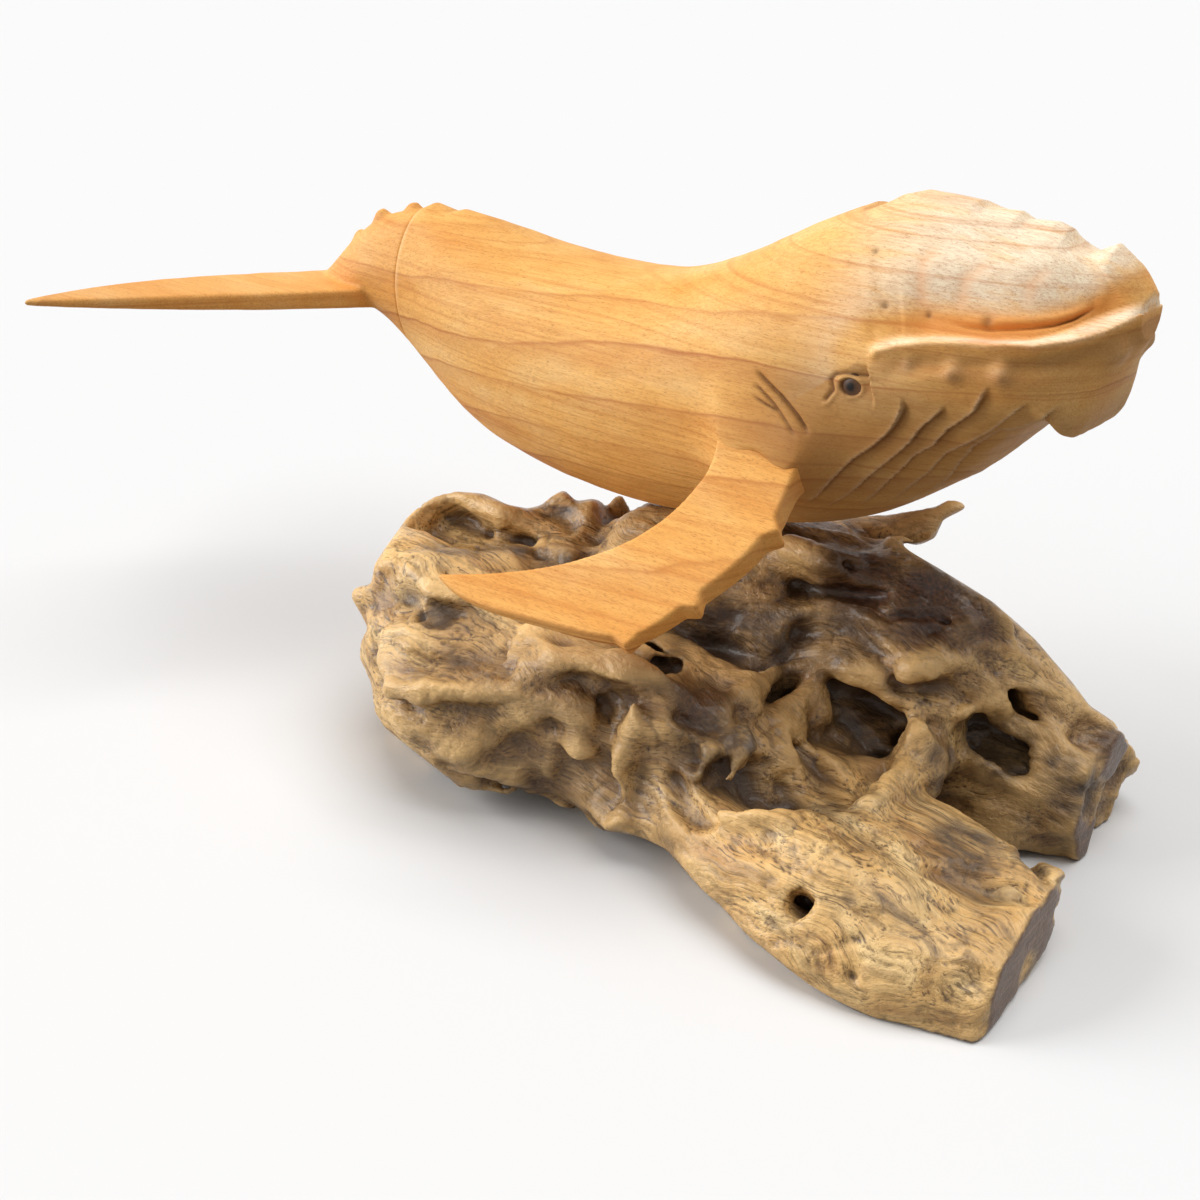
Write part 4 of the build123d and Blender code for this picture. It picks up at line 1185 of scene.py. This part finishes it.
def root_base(material):
    points, triangles = node_mesh("root_base")
    tree = (BVHTree.FromPolygons(points.tolist(), triangles.tolist()), points)
    field, saw = root_field(tree)
    points, quads = largest_part(*field.surface())
    normals = vertex_normals(points, quads)
    # How far the surface lies below its blurred self, used for painted shade in hollows and painted highlight on
    # crests
    hollow = field.sample(points, field.blurred(2.6))
    deep_shade = field.sample(points, field.blurred(7.0))
    sawn = smoothstep(-0.5, -0.1, field.sample(points, np.broadcast_to(saw, field.shape)))
    flat = smoothstep(0.8, 0.2, points[:, 2])
    stub = smoothstep(40, 75, points[:, 0]) * smoothstep(-22, -34, points[:, 1])
    drift = points + 7 * np.column_stack([point_noise(points, 34, RANDOM["grain"] + axis) for axis in range(3)])
    long_grain = np.abs(point_noise(drift, (30, 3.0, 3.0), RANDOM["grain"] + 5))
    short_grain = np.abs(point_noise(drift, (16, 1.9, 1.9), RANDOM["grain"] + 6))
    grain = np.minimum(long_grain, 0.8) + 0.6 * np.minimum(short_grain, 0.8)
    free = (1 - sawn) * (1 - flat)
    points = points + normals * (0.45 * (grain - 0.9) * free)[:, None]
    low, high = (np.array(corner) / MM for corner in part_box("root_base"))
    points = np.clip(points, low, high)
    marks = {
        "groove": 0.7 * np.clip(1 - long_grain / 0.22, 0, 1) + 0.45 * np.clip(1 - short_grain / 0.22, 0, 1),
        # Painted shade in the hollows, painted shade near black in the most sunken hollows, and painted highlight on
        # the crests
        "cavity_shade": np.clip(-hollow / 1.4, 0, 1),
        "deep_shade": np.clip(-deep_shade / 5.0 - 0.1, 0, 1),
        "ridge": np.clip(hollow / 2.0 - 0.1, 0, 0.8),
        "tan": np.maximum(stub, smoothstep(-18, -46, points[:, 0])),
        "red": 0.85 * near_places(points, tree, ROOT_RED),
        # Dark patches: mostly painted shade and shadow, with some dark marks of the wood itself
        "black": near_places(points, tree, ROOT_BLACK),
        "sawn": np.maximum(sawn, flat),
    }
    piece = new_piece("root_base_gnarled", points, quads, material, "base", marks)
    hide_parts("root_base")
    return piece


# Stage

def seen_directly(tree):
    """One for what the camera, a reflection or a clear body shows, zero for light that is cast on the object."""
    rays = add_node(tree, "ShaderNodeLightPath").outputs
    shown = maths(tree, "MAXIMUM", rays["Is Camera Ray"], rays["Is Glossy Ray"])
    return maths(tree, "MAXIMUM", shown, rays["Is Transmission Ray"])


def stage():
    mesh = bpy.data.meshes.new("floor")
    half = FLOOR_HALF
    mesh.from_pydata([(-half, -half, 0), (half, -half, 0), (half, half, 0), (-half, half, 0)], [], [(0, 1, 2, 3)])
    material, tree, surface = start_shader("floor_paper")
    shown = seen_directly(tree)
    tree.links.new(ramp(tree, shown, [(0.0, FLOOR_BOUNCE), (1.0, FLOOR_GREY)]), surface.inputs["Base Color"])
    surface.inputs["Roughness"].default_value = 0.9
    surface.inputs["Specular IOR Level"].default_value = 0.0
    mesh.materials.append(material)
    floor = bpy.data.objects.new("floor", mesh)
    bpy.context.scene.collection.objects.link(floor)
    for name, (source, strength, angle) in SOFT_LIGHTS.items():
        light = bpy.data.lights.new(name, "SUN")
        light.energy = strength
        light.angle = math.radians(angle)
        lamp = bpy.data.objects.new(name, light)
        lamp.rotation_euler = Vector(source).to_track_quat("Z", "Y").to_euler()
        bpy.context.scene.collection.objects.link(lamp)
    world = bpy.data.worlds.new("studio")
    world.use_nodes = True
    tree = world.node_tree
    sky = tree.nodes["Background"]
    sky.inputs["Color"].default_value = (1, 1, 1, 1)
    strength = maths(tree, "MULTIPLY_ADD", seen_directly(tree), 1 - WORLD_STRENGTH, WORLD_STRENGTH)
    tree.links.new(strength, sky.inputs["Strength"])
    bpy.context.scene.world = world
    camera = bpy.data.cameras.new("camera")
    camera.lens = LENS
    camera.sensor_width = SENSOR
    viewer = bpy.data.objects.new("camera", camera)
    viewer.location = Vector(CAMERA_PLACE) * MM
    viewer.rotation_euler = camera_turn()
    bpy.context.scene.collection.objects.link(viewer)
    bpy.context.scene.camera = viewer
    bpy.context.scene.view_settings.view_transform = "Standard"


def finish_node(name, material):
    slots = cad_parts[name].data.materials
    slots.clear()
    slots.append(material)


body_wood = carved_wood("carved_wood_body")
# The flippers and tail use the darker orange copy of the wood, partly painted shade on the flippers
flipper_wood = carved_wood("carved_wood_flipper", warm_tint_and_painted_shade=0.14)
tail_wood = carved_wood("carved_wood_tail", warm_tint_and_painted_shade=0.2)
body, body_tree, eye = whale_body(body_wood)
bore_for_pin(body)
softened_node("tail_flukes_carved", "tail_flukes", 0.55, 2, tail_wood)
softened_node("right_flipper_carved", "right_flipper", 0.5, 1, flipper_wood, ease_flipper_root)
softened_node("left_flipper_carved", "left_flipper", 0.5, 1, flipper_wood, ease_flipper_root)
eye_piece("right_eye_bead", "right_eye", eye, mirror=False)
eye_piece("left_eye_bead", "left_eye", eye, mirror=True)
root_base(root_wood())
finish_node("mounting_pin", pin_steel())
dowel = dowel_wood()
for dowel_node in ("right_flipper_dowel", "left_flipper_dowel", "tail_dowels"):
    finish_node(dowel_node, dowel)
stage()
